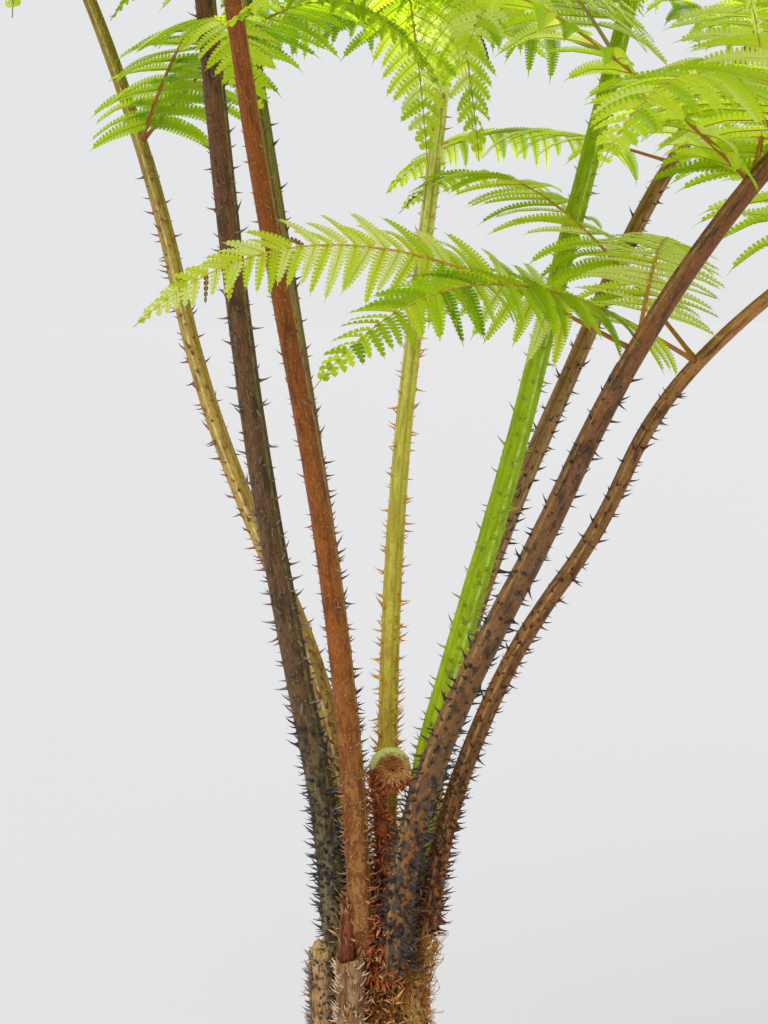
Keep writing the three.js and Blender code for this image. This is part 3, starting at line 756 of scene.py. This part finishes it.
def on_base(base, turns, rise, depth):
    """Roots at a depth under an old base's skin, at a rise from 0 to 1, and the ways out and up there."""
    start, direction, front = map(np.array, base_axes(base))
    outward = front * np.cos(turns) + np.cross(front, direction) * np.sin(turns)
    radius = between(base["radii"], rise)
    return start + direction * rise * base["length"] + outward * radius * depth, outward, direction


for name, (count, length, tones) in BASE_PRICKLES.items():
    turns = chance.uniform(-BASE_PRICKLE_TURN, BASE_PRICKLE_TURN, (count, 1))
    rise = chance.uniform(*BASE_PRICKLE_RISE, (count, 1))
    roots, outward, direction = on_base(OLD_BASES[name], turns, rise, BASE_PRICKLE_DEPTH)
    spike = outward + strewn(count, [(direction, BASE_PRICKLE_TILT)], BASE_PRICKLE_STRAY)
    sizes = length * chance.uniform(*BASE_PRICKLE_SIZES, (count, 1)) * BASE_PRICKLE_SHAPE
    made = sow(prickle, roots, spike, direction, sizes)
    piece = stand_sown("prickles_" + name, made, prickle_finish("prickle_" + name, *tones))

# The newest leaf is still coiled: a stalk in the middle of the crown carries a flat fleshy spiral that
# faces the front. The back of its outer coil is bare and pale green.
CROZIER_FOOT = (0, -12, 834)
CROZIER_STALK = 109.0
CROZIER_LEAN = -6.3
CROZIER_RADII = (9.0, 5.5)
CROZIER_ROOT = 12
CROZIER_STATIONS = 24
CROZIER_COLUMNS = 18
COIL_RISE = 0.3
COIL_REACH = (18.0, 2.5)
COIL_TURNS = 1.5
COIL_RADII = (6.1, 3.9)
COIL_DEPTH = 1.6
COIL_STATIONS = 96
COIL_STATION_RUN = 1.6
COIL_COLUMNS = 16

x, y, z = CROZIER_FOOT
crozier_start = trunk_middle(z) + Vector((x, y, 0))
crozier_up = leaning(CROZIER_LEAN, 0)
coil_middle = crozier_start + crozier_up * CROZIER_STALK + Vector((COIL_REACH[0], 0, COIL_RISE))
coil_work = new_limbs()
stations = []
for i in range(COIL_STATIONS + 1):
    t = i / COIL_STATIONS
    angle = math.pi - math.tau * COIL_TURNS * t
    out = Vector((math.cos(angle), 0, math.sin(angle)))
    middle = coil_middle + out * between(COIL_REACH, t)
    stations.append((middle, out, NORTH * COIL_DEPTH, between(COIL_RADII, t), i * COIL_STATION_RUN))
grow_limb(coil_work, stations, COIL_COLUMNS)
coil_skin, tree, shader = new_finish("crozier_coil_skin", 0.75)
parts = limb_place(tree)[1]
fuzz = clouds(tree, 700, 4)
pale_back = mixed(tree, ranged(tree, fuzz, 0.4, 0.65), tone(0xa8b464), tone(0xccd090))
colour = mixed(tree, ranged(tree, parts["X"], -0.002, 0.002), tone(0xb47848), pale_back)
colour = mixed(tree, ranged(tree, parts["Z"], 0.128, 0.142), colour, tone(0xd0bc84))
tree.links.new(colour, shader.inputs["Base Color"])
raise_grain(tree, shader, fuzz, 0.0008, 1)
coil_piece = stand("crozier_spiral", coil_work, coil_skin)
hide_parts("crozier_coil")

stalk_work = new_limbs()
stations = []
for i in range(CROZIER_STATIONS + 1):
    t = i / CROZIER_STATIONS
    middle = crozier_start + crozier_up * (CROZIER_STALK * t - CROZIER_ROOT * (1 - t))
    over = NORTH * between((1, COIL_DEPTH), t)
    stations.append((middle, EAST, over, between(CROZIER_RADII, t), CROZIER_STALK * t))
grow_limb(stalk_work, stations, CROZIER_COLUMNS)
stalk_piece = stand("crozier_stem", stalk_work, dry_finish("crozier_stem_skin", 0x7a3c20, 0xa05c34, 0x42200f))
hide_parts("crozier_stalk")

# Papery russet scales clothe the coil and its stalk. Over the inner coils they lie like the spokes of a
# wheel and leave the rim bare. Longer ones hang from the underside, and a shaggy coat stands on the stalk.
COIL_SCALES = (
    dict(count=330, turns=(0, math.tau), reaches=(1.5, 13.5), depths=(5, 7), flares=(0.05, 0.4), scatter=0.16,
         tangle=0, curl=0.7, lengths=(6, 10), width=1.3),
    dict(count=110, turns=(-2.7, -0.4), reaches=(13, 22), depths=(2, 7), flares=(0.1, 0.6), scatter=0.3,
         tangle=0.4, curl=1.3, lengths=(7, 13), width=1.2),
)
STALK_SCALE_COUNT = 620
STALK_SCALE_CURL = 1.6
STALK_SCALE_LENGTHS = (6, 12)
STALK_SCALE_WAYS = ((0.45, 0.25), (0.5, 0.6))
STALK_SCALE_TANGLE = 0.5
UP = np.array([0.0, 0.0, 1.0])
SCALE_HALF_WIDTH = 0.085
SCALE_CUP = 0.25


def scale_seed(curl):
    """One papery scale of unit length, a narrow blade that is widest low down and curls over at its point."""
    bm = bmesh.new()
    bmesh.ops.create_grid(bm, x_segments=2, y_segments=6, size=0.5)
    for v in bm.verts:
        side, rise = v.co.x * 2, v.co.y + 0.5
        wide = SCALE_HALF_WIDTH * math.sin(math.pi * (0.18 + 0.82 * rise)) + 0.004
        bend = curl * rise
        over = (1 - math.cos(bend)) / curl + SCALE_CUP * wide * abs(side)
        v.co = (over, side * wide, math.sin(bend) / curl)
    return seed_of(bm)


def scale_finish(name, root, end):
    """A papery scale's material, darker where it is rooted."""
    return fading_finish(name, 0.6, root, [(end, 0.0, 0.8)], (root, 90, 3, 0.45, 0.7, 0, 0.6))


def joined(batches):
    """Several (paint, arrays) batches as one set of points, corners, counts, limb places and paints."""
    points, corners, counts, limbs, paints = [], [], [], [], []
    for paint, (p, c, n, l) in batches:
        corners.append(c + sum(map(len, points)))
        points.append(p)
        counts.append(n)
        limbs.append(l)
        paints.append(np.full(len(n), paint))
    return tuple(map(np.concatenate, (points, corners, counts, limbs, paints)))


def coil_scales(face, count, turns, reaches, depths, flares, scatter, tangle, curl, lengths, width):
    """A batch of scales that radiate from the coil's middle over one of its faces."""
    each = (count, 1)
    turn = chance.uniform(*turns, each)
    spoke = np.concatenate([np.cos(turn), np.zeros_like(turn), np.sin(turn)], 1)
    front = np.array([0.0, face, 0.0])
    reach = spoke * chance.uniform(*reaches, each)
    roots = np.array(coil_middle) + reach + front * chance.uniform(*depths, each)
    spike = spoke + front * chance.uniform(*flares, each) + chance.normal(0, scatter, (count, 3))
    guide = front + chance.normal(0, tangle, (count, 3)) if tangle else front
    return sow(scale_seed(curl), roots, spike, guide, chance.uniform(*lengths, each) * [1, width, 1])


def compass(turn):
    """Level unit vectors at compass angles in radians."""
    return np.stack([np.cos(turn), np.sin(turn), np.zeros_like(turn)], -1)


chance = np.random.default_rng(37)
batches = [(paint, coil_scales(face, **kind)) for face in (-1, 1) for paint, kind in enumerate(COIL_SCALES)]
each = (STALK_SCALE_COUNT, 1)
rise = chance.uniform(0.0, 1.02, each)
outward = compass(chance.uniform(0, math.tau, STALK_SCALE_COUNT))
flank = outward * between(CROZIER_RADII, rise) * [1, 1.3, 1]
roots = np.array(crozier_start) + np.array(crozier_up) * CROZIER_STALK * rise + flank
spike = strewn(STALK_SCALE_COUNT, zip((outward, UP), STALK_SCALE_WAYS))
guide = outward + chance.normal(0, STALK_SCALE_TANGLE, (STALK_SCALE_COUNT, 3))
sizes = chance.uniform(*STALK_SCALE_LENGTHS, each) * [1, 1.1, 1]
batches.append((1, sow(scale_seed(STALK_SCALE_CURL), roots, spike, guide, sizes)))
russet = scale_finish("scale_russet", 0x9c5428, 0xdca468)
rust = scale_finish("scale_rust", 0xa4481f, 0xd88c58)
scales_piece = stand_sown("crozier_scales", joined(batches), russet, rust)

# Between the feet of the stalks the crown is packed with the same papery scales, red-brown in front and
# golden on the right. Each batch is rooted on the trunk between two bearings in degrees and two heights.
CROWN_SCALES = (
    dict(count=1300, bearings=(0, 360), heights=(600, 832), lengths=(14, 26), curl=1.2, lift=1.0, width=0.8),
    dict(count=300, bearings=(-125, -55), heights=(660, 832), lengths=(12, 22), curl=1.5, lift=0.8,
         width=0.8),
    dict(count=420, bearings=(0, 360), heights=(780, 832), lengths=(10, 22), curl=1.7, lift=0.7, width=1.0),
    dict(count=520, bearings=(-70, 30), heights=(600, 770), lengths=(14, 30), curl=1.1, lift=0.9, width=0.6),
    dict(count=340, bearings=(-108, -58), heights=(725, 828), lengths=(12, 24), curl=2.1, lift=0.5,
         width=0.8),
)
CROWN_DEPTHS = (-2, 7)
CROWN_OUTWARD = (0.5, 0.25)
CROWN_LIFT_SPREAD = 0.35
CROWN_STRAY = 0.3
CROWN_TANGLE = 0.6


def crown_scales(count, bearings, heights, lengths, curl, lift, width):
    """A batch of scales rooted on the trunk between two bearings and two heights."""
    turn = np.radians(chance.uniform(*bearings, count))
    roots = lay_on_trunk(turn, chance.uniform(*heights, count), chance.uniform(*CROWN_DEPTHS, count))
    outward = compass(turn)
    spike = strewn(count, [(outward, CROWN_OUTWARD), (UP, (lift, CROWN_LIFT_SPREAD))], CROWN_STRAY)
    guide = outward + chance.normal(0, CROWN_TANGLE, (count, 3))
    return sow(scale_seed(curl), roots, spike, guide, chance.uniform(*lengths, (count, 1)) * [1, width, 1])


russet_dark = scale_finish("scale_dark", 0x6a2c18, 0xb0643a)
red = scale_finish("scale_red", 0x7c2c18, 0xb8603a)
golden = scale_finish("scale_golden", 0xb0742c, 0xe0ac60)
crown = joined([(paint, crown_scales(**kind)) for paint, kind in enumerate(CROWN_SCALES)])
crown_piece = stand_sown("crown_scales", crown, russet_dark, russet, rust, golden, red)

# Below the foremost stalk's heel its own old skin carries on down the trunk, set with hard blue-black
# prickles that stand straight out.
HEEL_PRICKLE_COUNT = 150
HEEL_PRICKLE_BEARINGS = (-84, -44)
HEEL_PRICKLE_HEIGHTS = (628, 742)
HEEL_PRICKLE_LENGTHS = (8, 15)
HEEL_PRICKLE_DEPTHS = (1, 6)
HEEL_PRICKLE_TILT = (0.1, 0.35)
HEEL_PRICKLE_STRAY = 0.25

count = HEEL_PRICKLE_COUNT
turn = np.radians(chance.uniform(*HEEL_PRICKLE_BEARINGS, count))
z = chance.uniform(*HEEL_PRICKLE_HEIGHTS, count)
roots = lay_on_trunk(turn, z, chance.uniform(*HEEL_PRICKLE_DEPTHS, count))
spike = compass(turn) + strewn(count, [(UP, HEEL_PRICKLE_TILT)], HEEL_PRICKLE_STRAY)
made = sow(prickle, roots, spike, UP, chance.uniform(*HEEL_PRICKLE_LENGTHS, (count, 1)))
piece = stand_sown("prickles_heel", made, prickle_finish("prickle_heel", 0x3c3634, 0x343840))

# Scurf clings to the feet of the stalks: small ragged scales of the same papery kind, in each stalk's own
# tones and thickest where the stalks part.
SCURF_COUNT = 150
SCURF_RUN = 210.0
SCURF_DEPTH = 0.96
SCURF_CURL = 1.5
SCURF_LENGTHS = (5, 12)
SCURF_START = -0.6 * HEEL
SCURF_CROWDING = 1.5
SCURF_WAYS = ((0.35, 0.2), (0.2, 0.8))
SCURF_STRAY = 0.4

count, each = SCURF_COUNT, (SCURF_COUNT, 1)
for name, frond in FRONDS.items():
    runs = chance.uniform(0, 1, count) ** SCURF_CROWDING * SCURF_RUN + SCURF_START
    roots, outward, forward = on_stalk(name, runs, chance.uniform(0, math.tau, each), SCURF_DEPTH)
    spike = strewn(count, zip((outward, forward), SCURF_WAYS), SCURF_STRAY)
    sizes = chance.uniform(*SCURF_LENGTHS, each) * [1, 0.9, 1]
    made = sow(scale_seed(SCURF_CURL), roots, spike, outward, sizes)
    ragged = scale_finish("scurf_" + name, frond["skin"][5], frond["skin"][2])
    piece = stand_sown("scurf_" + name, made, ragged)

# The old bases fray: loose splinters of their dry wood lift from the flanks, most of all towards the break.
# They are made like scales, straighter and stiffer, in a pale and a rusty tone turn about.
SPLINTER_COUNT = 90
SPLINTER_DEPTH = 0.95
SPLINTER_CURL = 0.9
SPLINTER_LENGTHS = (7, 19)
SPLINTER_RISE = (0.02, 1)
SPLINTER_CROWDING = 0.6
SPLINTER_WAYS = ((0.8, 0.6), (0.4, 0.25))
SPLINTER_STRAY = 0.3

count, each = SPLINTER_COUNT, (SPLINTER_COUNT, 1)
batches = []
for number, base in enumerate(OLD_BASES.values()):
    turns = chance.uniform(0, math.tau, each)
    rise = chance.uniform(*SPLINTER_RISE, each) ** SPLINTER_CROWDING
    roots, outward, direction = on_base(base, turns, rise, SPLINTER_DEPTH)
    spike = strewn(count, zip((direction, outward), SPLINTER_WAYS), SPLINTER_STRAY)
    sizes = chance.uniform(*SPLINTER_LENGTHS, each) * [1, 0.8, 1]
    batches.append((number % 2, sow(scale_seed(SPLINTER_CURL), roots, spike, outward, sizes)))
pale_wood = scale_finish("splinter_pale", 0x7c5636, 0xcca070)
rusty_wood = scale_finish("splinter_rust", 0x6e3c20, 0xb87a48)
fray_piece = stand_sown("old_base_splinters", joined(batches), pale_wood, rusty_wood)

# Under the crown the scales have frayed to a loose mat of golden fibres that creep and climb over the
# trunk, most of them on the right, where they lie thick over the old base.
MAT_COUNT = 2000
MAT_ALL_ROUND = 0.3
MAT_BEARING = (-38, 30)
MAT_HEIGHTS = (600, 765)
MAT_RUN = (18, 52)
MAT_STATIONS = 7
MAT_RADIUS = 0.48
MAT_SIDES = 3
MAT_BANK = 21
MAT_BANK_BEARING = -31
MAT_BANK_BREADTH = 17
MAT_WANDER = 1.15
MAT_CLIMB = (0.45, 0.9)
MAT_PROUD = (2, 7)

each, all_along = (MAT_COUNT, 1), (MAT_COUNT, MAT_STATIONS)
anywhere, all_round = chance.random(each) < MAT_ALL_ROUND, chance.uniform(0, 360, each)
turn = np.radians(np.where(anywhere, all_round, chance.normal(*MAT_BEARING, each)))
start = chance.uniform(*MAT_HEIGHTS, each)
steps = np.linspace(0, 1, MAT_STATIONS)[None]
run = chance.uniform(*MAT_RUN, each)
wander = np.cumsum(chance.normal(0, MAT_WANDER, all_along), 1)
climb = np.cumsum(chance.normal(*MAT_CLIMB, all_along), 1)
proud = MAT_PROUD[0] + MAT_PROUD[1] * np.abs(chance.normal(0, 1, each)) * np.sin(np.pi * (0.15 + 0.8 * steps))
proud = proud + MAT_BANK * np.exp(-((np.degrees(turn) - MAT_BANK_BEARING) / MAT_BANK_BREADTH) ** 2)
mat_lines = lay_on_trunk(turn + wander * run / 900, start + climb * run / 9, proud)
mat = strands(mat_lines, np.broadcast_to(MAT_RADIUS * (1.1 - steps), all_along), MAT_SIDES)
mat_piece = stand_sown("crown_fibres", mat, dry_finish("golden_fibre", 0xb0722e, 0xd29a4c, 0x74481c))

# Each blade hangs on a midrib that carries twelve pairs of leaflets, crowded towards the tip. Their ribs
# leave it raised, and droop. A rib is brown and 4 to 5 mm thick at its joint, and green further out.
LEAFLET_PAIRS = 12
LEAFLET_CROWDING = 1.6
LEAFLET_SWEEP = [(0.25, 72), (1, 56)]
LEAFLET_LIFT = [(0.14, 46), (0.3, 28), (0.5, 14), (1, 10)]
LEAFLET_DROOP = (0.7, 0.0021)
LEVELLED = 0.85
RIB_STEPS = 24
RIB_SIDES = 6
RIB_TAPER = [(0, 1.35), (0.02, 1.0), (0.1, 0.85), (1, 0.18)]
RIB_JOINT = 0x3c2416
BARE_RIB = 0.035
MIDRIB_STATIONS = 90
MIDRIB_COLUMNS = 12


def leaflet_path(frond, path, k, side):
    """A leaflet's rib: its points, its directions, those across it and up from its face, and its length."""
    # The pairs stand from 0 at the neck to 1 at the tip
    u = 1 - (1 - k / LEAFLET_PAIRS) ** LEAFLET_CROWDING
    point, forward, left, top = at_run(path, np.float64(frond["stipe"] + u * frond["blade"]))
    length = frond["leaflet"] * math.sin(math.pi * (0.32 + 0.68 * u)) ** 0.8
    lift = math.radians(along([(0, frond["lift"])] + LEAFLET_LIFT, u))
    sweep = math.radians(along([(0, frond["sweep"])] + LEAFLET_SWEEP, u))
    roll = math.radians(frond["roll"])
    left, top = left * math.cos(roll) + top * math.sin(roll), top * math.cos(roll) - left * math.sin(roll)
    out = left * side * math.cos(lift) + top * math.sin(lift)
    start = forward * math.cos(sweep) + out * math.sin(sweep)
    droop = (LEAFLET_DROOP[0] + LEAFLET_DROOP[1] * length) * frond["droop"]
    # The blade's plane is rolled to face the sky, most of the way from the frond's own plane to level, and
    # the first pair's is turned on towards the open front
    sky = np.array([0, -frond["turned"] if k == 0 else 0, 1])
    level = unit(np.cross(sky * side, start))
    across = forward * (1 - LEVELLED) + level * LEVELLED
    points, directions, acrosses = [], [], []
    for i in range(RIB_STEPS + 1):
        direction = unit(start - np.array([0, 0, droop * (i / RIB_STEPS) ** 2]))
        across = unit(across - direction * across.dot(direction))
        points.append(point)
        directions.append(direction)
        acrosses.append(across)
        point = point + direction * length / RIB_STEPS
    directions, acrosses = np.array(directions), np.array(acrosses)
    return np.array(points), directions, acrosses, side * np.cross(acrosses, directions), length


def rib_finish(name, root, middle, end):
    """A rib's material: one tone near its joint, another half way, a third at its tip, and the joint dark."""
    bands = [(middle, 0.06, 0.45), (end, 0.4, 0.85), (RIB_JOINT, 0.004, 0.02, 0.8, 0)]
    return fading_finish(name, 0.45, root, bands, (root, 160, 3, 0.5, 0.72, 0, 0.35))


warm_rib = rib_finish("rib_warm", 0xac6c2c, 0xb88a34, 0xb0a83c)
green_rib = rib_finish("rib_green", 0xa8943c, 0xa4b03c, 0xa8bc48)
pale_vein = rib_finish("vein_pale", 0xb4bc50, 0xb4c454, 0xb0c850)
warm_vein = rib_finish("vein_warm", 0xbc9438, 0xb8a840, 0xb2bc4c)

# Pinnules are the leaf proper: thin toothed blades in two rows along each rib, each with a drooping tail.
# The plant's greens are dealt out leaflet by leaflet and blade by blade, with a few withered ones.
PINNULE_SHARE = 0.185
PINNULE_LEAST = 12.0
PINNULE_SHORTEST = 5
PINNULE_SPACING = (7.0, 0.028)
PINNULE_HALF = 0.52
PINNULE_ANGLES = (82, 54)
PINNULE_DROOP = (0.3, 0.008)
PINNULES_END = 0.985
PINNULE_ANGLE_STRAY = 4.5
PINNULE_RAISE = (0.1, 0.07)
PINNULE_TWIST = 0.24
PINNULE_SIZES = (0.86, 1.06)
PINNULE_DROOPS = (0.55, 1.45)
PINNULE_CURVE = (0.16, 0.12)
BEND_LATE = 1.7
TOOTH_PITCH = 4.5
TOOTH_LIMITS = (3, 22)
TOOTH_CORNERS = ((0.4, 1.0), (1.0, 0.95))
TOOTH_SAG = 0.26
SINUS_DEPTH = 0.3
SINUS_SAG = 0.1
TAIL_START = 0.88
TIP_START = 0.955
TIP_PINNULE = 90
GREENS = (0x385c10, 0x507810, 0x709812, 0x94b41a, 0xb2c632, 0xccd878)
GLOWS = (0x669808, 0x8ab40a, 0xb0d010, 0xcae426, 0xdeee3c, 0xecf684)
GREEN_SPREAD = (0.95, 0.7)
# How much darker a first leaflet's greens are dealt for each share it is turned to the front: painted shade
# against the front light
TURNED_PAINTED_SHADE = 1.2
TIP_GREEN = 4
WITHERED = 0x6e4a24
WITHERED_SHARE = 0.01
WITHERED_WIDTH = 0.4
WITHERED_DROOP = 1.6
VEIN_END = 0.9
VEIN_STEPS = 15
VEIN_KEPT = 5
VEIN_TAPER = [(0, 0.62), (1, 0.2)]
VEIN_SIDES = 3


def leaf_finish(name, code, glowing, glow=0.72):
    """A leaf's material: one plain tone with a soft gloss, and that of the light that comes through it."""
    finish, tree, shader = new_finish(name, 0.42)
    shader.inputs["Base Color"].default_value = tone(code)
    grain = clouds(tree, 420, 2)
    tree.links.new(ranged(tree, grain, 0.35, 0.7, 0.34, 0.56), shader.inputs["Roughness"])
    raise_grain(tree, shader, grain, 0.0007, 0.5)
    through = wire(tree, "ShaderNodeBsdfTranslucent", {"Color": tone(glowing)})
    both = wire(tree, "ShaderNodeMixShader", {0: glow, 1: shader.outputs[0], 2: through.outputs[0]})
    tree.links.new(both.outputs[0], tree.nodes["Material Output"].inputs["Surface"])
    return finish


def blade_lines(base, reach, bend, length, t):
    """Many pinnules' middle lines, bent down towards their tails, at shares t of their lengths, and the ways
    ahead there."""
    ahead = unit(reach[:, None] + bend[:, None] * t[None, :, None] ** BEND_LATE)
    steps = np.cumsum(ahead * np.diff(t, prepend=0)[None, :, None], 1)
    return base[:, None] + length[:, None, None] * steps, ahead


def toothed_blades(base, reach, face, length, half, bend, teeth):
    """Blades with the same number of teeth a side: points, corners and counts for all of them."""
    t = np.append(np.linspace(0, TAIL_START, teeth), 1.0)
    mid, ahead = blade_lines(base, reach, bend, length, t)
    wide = unit(np.cross(face[:, None], ahead))
    face = np.cross(ahead, wide)
    gap = t[1] - t[0]

    def breadth(at):
        waist = 0.7 + 0.3 * np.minimum(1, at / 0.14)
        return half[:, None] * waist * (1 - np.minimum(at, 1) ** 1.9) ** 0.9 + 0.4

    def beside(index, sign, shift, share, sag):
        """One side's corners: a shift of the gap on from each tooth's start, a share of the breadth out."""
        size = breadth(t[index] + shift * gap) * share
        step = ahead[:, index] * (length[:, None] * gap * shift)[..., None]
        return mid[:, index] + step + (wide[:, index] * sign - face[:, index] * sag) * size[..., None]

    parts, faces, counts = [mid], [], []
    first = teeth + 1
    i = np.arange(teeth - 1)
    for sign in (1, -1):
        parts.append(beside(np.arange(teeth), sign, 0, SINUS_DEPTH, SINUS_SAG))
        for shift, share in TOOTH_CORNERS:
            parts.append(beside(i, sign, shift, share, TOOTH_SAG))
        sinus, near, far = first + i, first + teeth + i, first + 2 * teeth - 1 + i
        six = np.stack([i, i + 1, sinus + 1, far, near, sinus], -1)
        tail = np.array([teeth - 1, teeth, first + teeth - 1])
        faces += [six[:, ::sign].ravel(), tail[::sign]]
        counts += [6] * (teeth - 1) + [3]
        first += 3 * teeth - 2
    points = np.concatenate(parts, 1)
    corners = np.concatenate(faces)[None] + (np.arange(len(base)) * first)[:, None]
    return points.reshape(-1, 3), corners.ravel(), np.tile(counts, len(base))


def pinnule_rows(points, directions, acrosses, faces, length, full, bare, hang):
    """Where a rib's pinnules stand on both its sides, as arrays of their sizes and directions."""
    rows = []
    for sign in (1, -1):
        v = bare + (0.3 if sign < 0 else 0) * PINNULE_SPACING[0] / max(length, 1)
        while v < PINNULES_END:
            spacing = (PINNULE_SPACING[0] + PINNULE_SPACING[1] * full) * (1 - 0.5 * v)
            rows.append((v, sign, spacing))
            v += spacing / length
    v, sign, spacing = map(np.array, zip(*rows))
    i = np.minimum((v * RIB_STEPS).astype(int), RIB_STEPS - 1)
    base = points[i] + directions[i] * ((v - i / RIB_STEPS) * length)[:, None]
    count, each = len(v), (len(v), 1)
    angle = np.radians(between(PINNULE_ANGLES, v) + chance.normal(0, PINNULE_ANGLE_STRAY, count))[:, None]
    out = acrosses[i] * sign[:, None]
    raised = faces[i] * chance.normal(*PINNULE_RAISE, each)
    reach = unit(out * np.sin(angle) + directions[i] * np.cos(angle) + raised)
    twist = chance.normal(0, PINNULE_TWIST, each)
    face = faces[i] * np.cos(twist) + np.cross(reach, faces[i]) * np.sin(twist)
    size = (PINNULE_LEAST + PINNULE_SHARE * full) * np.sin(np.pi * (0.3 + 0.7 * np.minimum(v, 1))) ** 0.9
    size = np.maximum(size, PINNULE_SHORTEST) * chance.uniform(*PINNULE_SIZES, count)
    droop = (PINNULE_DROOP[0] + PINNULE_DROOP[1] * size) * hang * chance.uniform(*PINNULE_DROOPS, count)
    bend = directions[i] * chance.normal(*PINNULE_CURVE, each) - UP * droop[:, None]
    return base, reach, face, size, spacing * PINNULE_HALF, bend


leaf_finishes = [leaf_finish(f"leaf_green_{i}", *codes) for i, codes in enumerate(zip(GREENS, GLOWS))]
leaf_finishes.append(leaf_finish("leaf_withered", WITHERED, WITHERED, 0.2))
for number, (name, frond) in enumerate(FRONDS.items()):
    path = paths[name]
    chance = np.random.default_rng(100 + number)
    ribs, rib_radii, rows, deals = [], [], [], []
    for k in range(LEAFLET_PAIRS):
        for side in (1, -1):
            *rib, length = leaflet_path(frond, path, k, side)
            ribs.append(rib[0])
            rib_radii.append(along(RIB_TAPER, np.linspace(0, 1, RIB_STEPS + 1)) * (0.9 + length / 320))
            own = (frond["slim"], frond["bare"], frond["turned"])
            slim, bare, turned = own if k == 0 else (1, BARE_RIB, 0)
            row = pinnule_rows(*rib, length, length * slim, bare, frond["hang"] * chance.uniform(0.8, 1.25))
            rows.append(row)
            # A first leaflet turned towards the front is dealt darker greens, as painted shade
            shade = frond["green"] * 5 + chance.normal(0, GREEN_SPREAD[0]) - turned * TURNED_PAINTED_SHADE
            shades = np.round(shade + chance.normal(0, GREEN_SPREAD[1], len(row[0])))
            deals.append(np.clip(shades, 0, len(GREENS) - 1))
    # The tip of the blade has no leaflets of its own: small pinnules stand straight on the midrib
    tip = at_run(path, frond["stipe"] + frond["blade"] * np.linspace(TIP_START, 1, RIB_STEPS + 1))
    rows.append(pinnule_rows(*tip, frond["blade"] * (1 - TIP_START), TIP_PINNULE, 0.0, frond["hang"]))
    deals.append(np.full(len(rows[-1][0]), TIP_GREEN))
    base, reach, face, size, half, bend = (np.concatenate(part) for part in zip(*rows))
    deal = np.concatenate(deals)
    withered = chance.random(len(deal)) < WITHERED_SHARE
    deal[withered] = len(GREENS)
    half[withered] *= WITHERED_WIDTH
    bend[withered, 2] -= WITHERED_DROOP
    teeth = np.clip(np.round(size / TOOTH_PITCH), *TOOTH_LIMITS).astype(int)
    batches, paints = [], []
    for n in np.unique(teeth):
        pick = teeth == n
        blades = toothed_blades(*(part[pick] for part in (base, reach, face, size, half, bend)), n)
        batches.append((0, (*blades, blades[0])))
        paints.append(np.repeat(deal[pick], 2 * n))
    leaf_arrays = joined(batches)[:3]
    leaf_mesh = mesh_from("leaves_" + name, *leaf_arrays, paints=np.concatenate(paints), smooth=False)
    leaves = stand("leaves_" + name, leaf_mesh, *leaf_finishes)

    # The midrib, the leaflets' ribs and the pinnules' veins are tougher, and carry the leaf
    work = new_limbs()
    neck = frond["stipe"] - frond["neck_girth"]
    peg = stations_between(frond, path, neck - 6, neck, 2, 0.4)
    bearer = stations_between(frond, path, neck + 1, frond["stipe"] + frond["blade"], MIDRIB_STATIONS)
    grow_limb(work, peg + bearer, MIDRIB_COLUMNS, stalk_swell)
    midrib = stand("midrib_" + name, work, stalk_finishes[name])
    t = np.linspace(0, VEIN_END, VEIN_STEPS + 1)
    veins = blade_lines(base, reach, bend, size, t)[0][:, ::VEIN_KEPT]
    vein_radii = along(VEIN_TAPER, t[::VEIN_KEPT])[None] * (0.4 + size[:, None] / 110)
    made = joined([(0, strands(np.array(ribs), np.array(rib_radii), RIB_SIDES)),
                   (1, strands(veins, vein_radii, VEIN_SIDES))])
    rib = green_rib if name in ("green", "middle", "back_left") else warm_rib
    vein = warm_vein if frond["slot"] == "stipe_brown" else pale_vein
    ribs_piece = stand_sown("ribs_" + name, made, rib, vein)
    for piece in (leaves, midrib, ribs_piece):
        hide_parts(f"frond_{name}_inner", f"frond_{name}_outer")

# A pale floor reaches far behind the plant. Soft light comes from high behind the right of it, so that the
# leaves glow from within, and a wide weak light in front opens the shadows.
floor_work = bmesh.new()
bmesh.ops.create_grid(floor_work, x_segments=1, y_segments=1, size=30)
floor_mesh = bpy.data.meshes.new("floor")
floor_work.to_mesh(floor_mesh)
floor_work.free()
floor = bpy.data.objects.new("floor", floor_mesh)
bpy.context.scene.collection.objects.link(floor)
floor_finish, tree, shader = new_finish("floor_pale", 0.9)
shader.inputs["Base Color"].default_value = tone(0x8b8c90)
floor_mesh.materials.append(floor_finish)

studio = bpy.data.worlds.new("studio")
studio.use_nodes = True
studio.node_tree.nodes["Background"].inputs["Color"].default_value = (0.98, 0.99, 1.0, 1)
studio.node_tree.nodes["Background"].inputs["Strength"].default_value = 0.8
bpy.context.scene.world = studio
bpy.context.scene.view_settings.view_transform = "Standard"


def far_light(name, towards, strength, breadth, colour):
    """A light from far away in one direction, softened by its breadth in degrees."""
    lamp = bpy.data.lights.new(name, "SUN")
    lamp.energy, lamp.angle, lamp.color = strength, math.radians(breadth), colour
    held = bpy.data.objects.new(name, lamp)
    held.rotation_euler = (-Vector(towards)).to_track_quat("-Z", "Y").to_euler()
    bpy.context.scene.collection.objects.link(held)


far_light("light_high", (0.9, 1.2, 2.6), 5.6, 9, (1.0, 0.97, 0.9))
far_light("light_front", (-1.8, -3.0, 3.2), 2.6, 40, (1.0, 0.99, 0.96))

# The camera stands where the photograph's did, 2.5 m in front of the trunk and 1.5 m above the ground, and
# looks slightly down at the crown.
camera = bpy.data.cameras.new("photograph")
camera.lens = 87.89
camera.sensor_width = 36.0
camera.clip_end = 120
viewer = bpy.data.objects.new("photograph", camera)
viewer.location = (0.028, -2.5, 1.51)
viewer.rotation_euler = (math.radians(83), 0, 0)
bpy.context.scene.collection.objects.link(viewer)
bpy.context.scene.camera = viewer
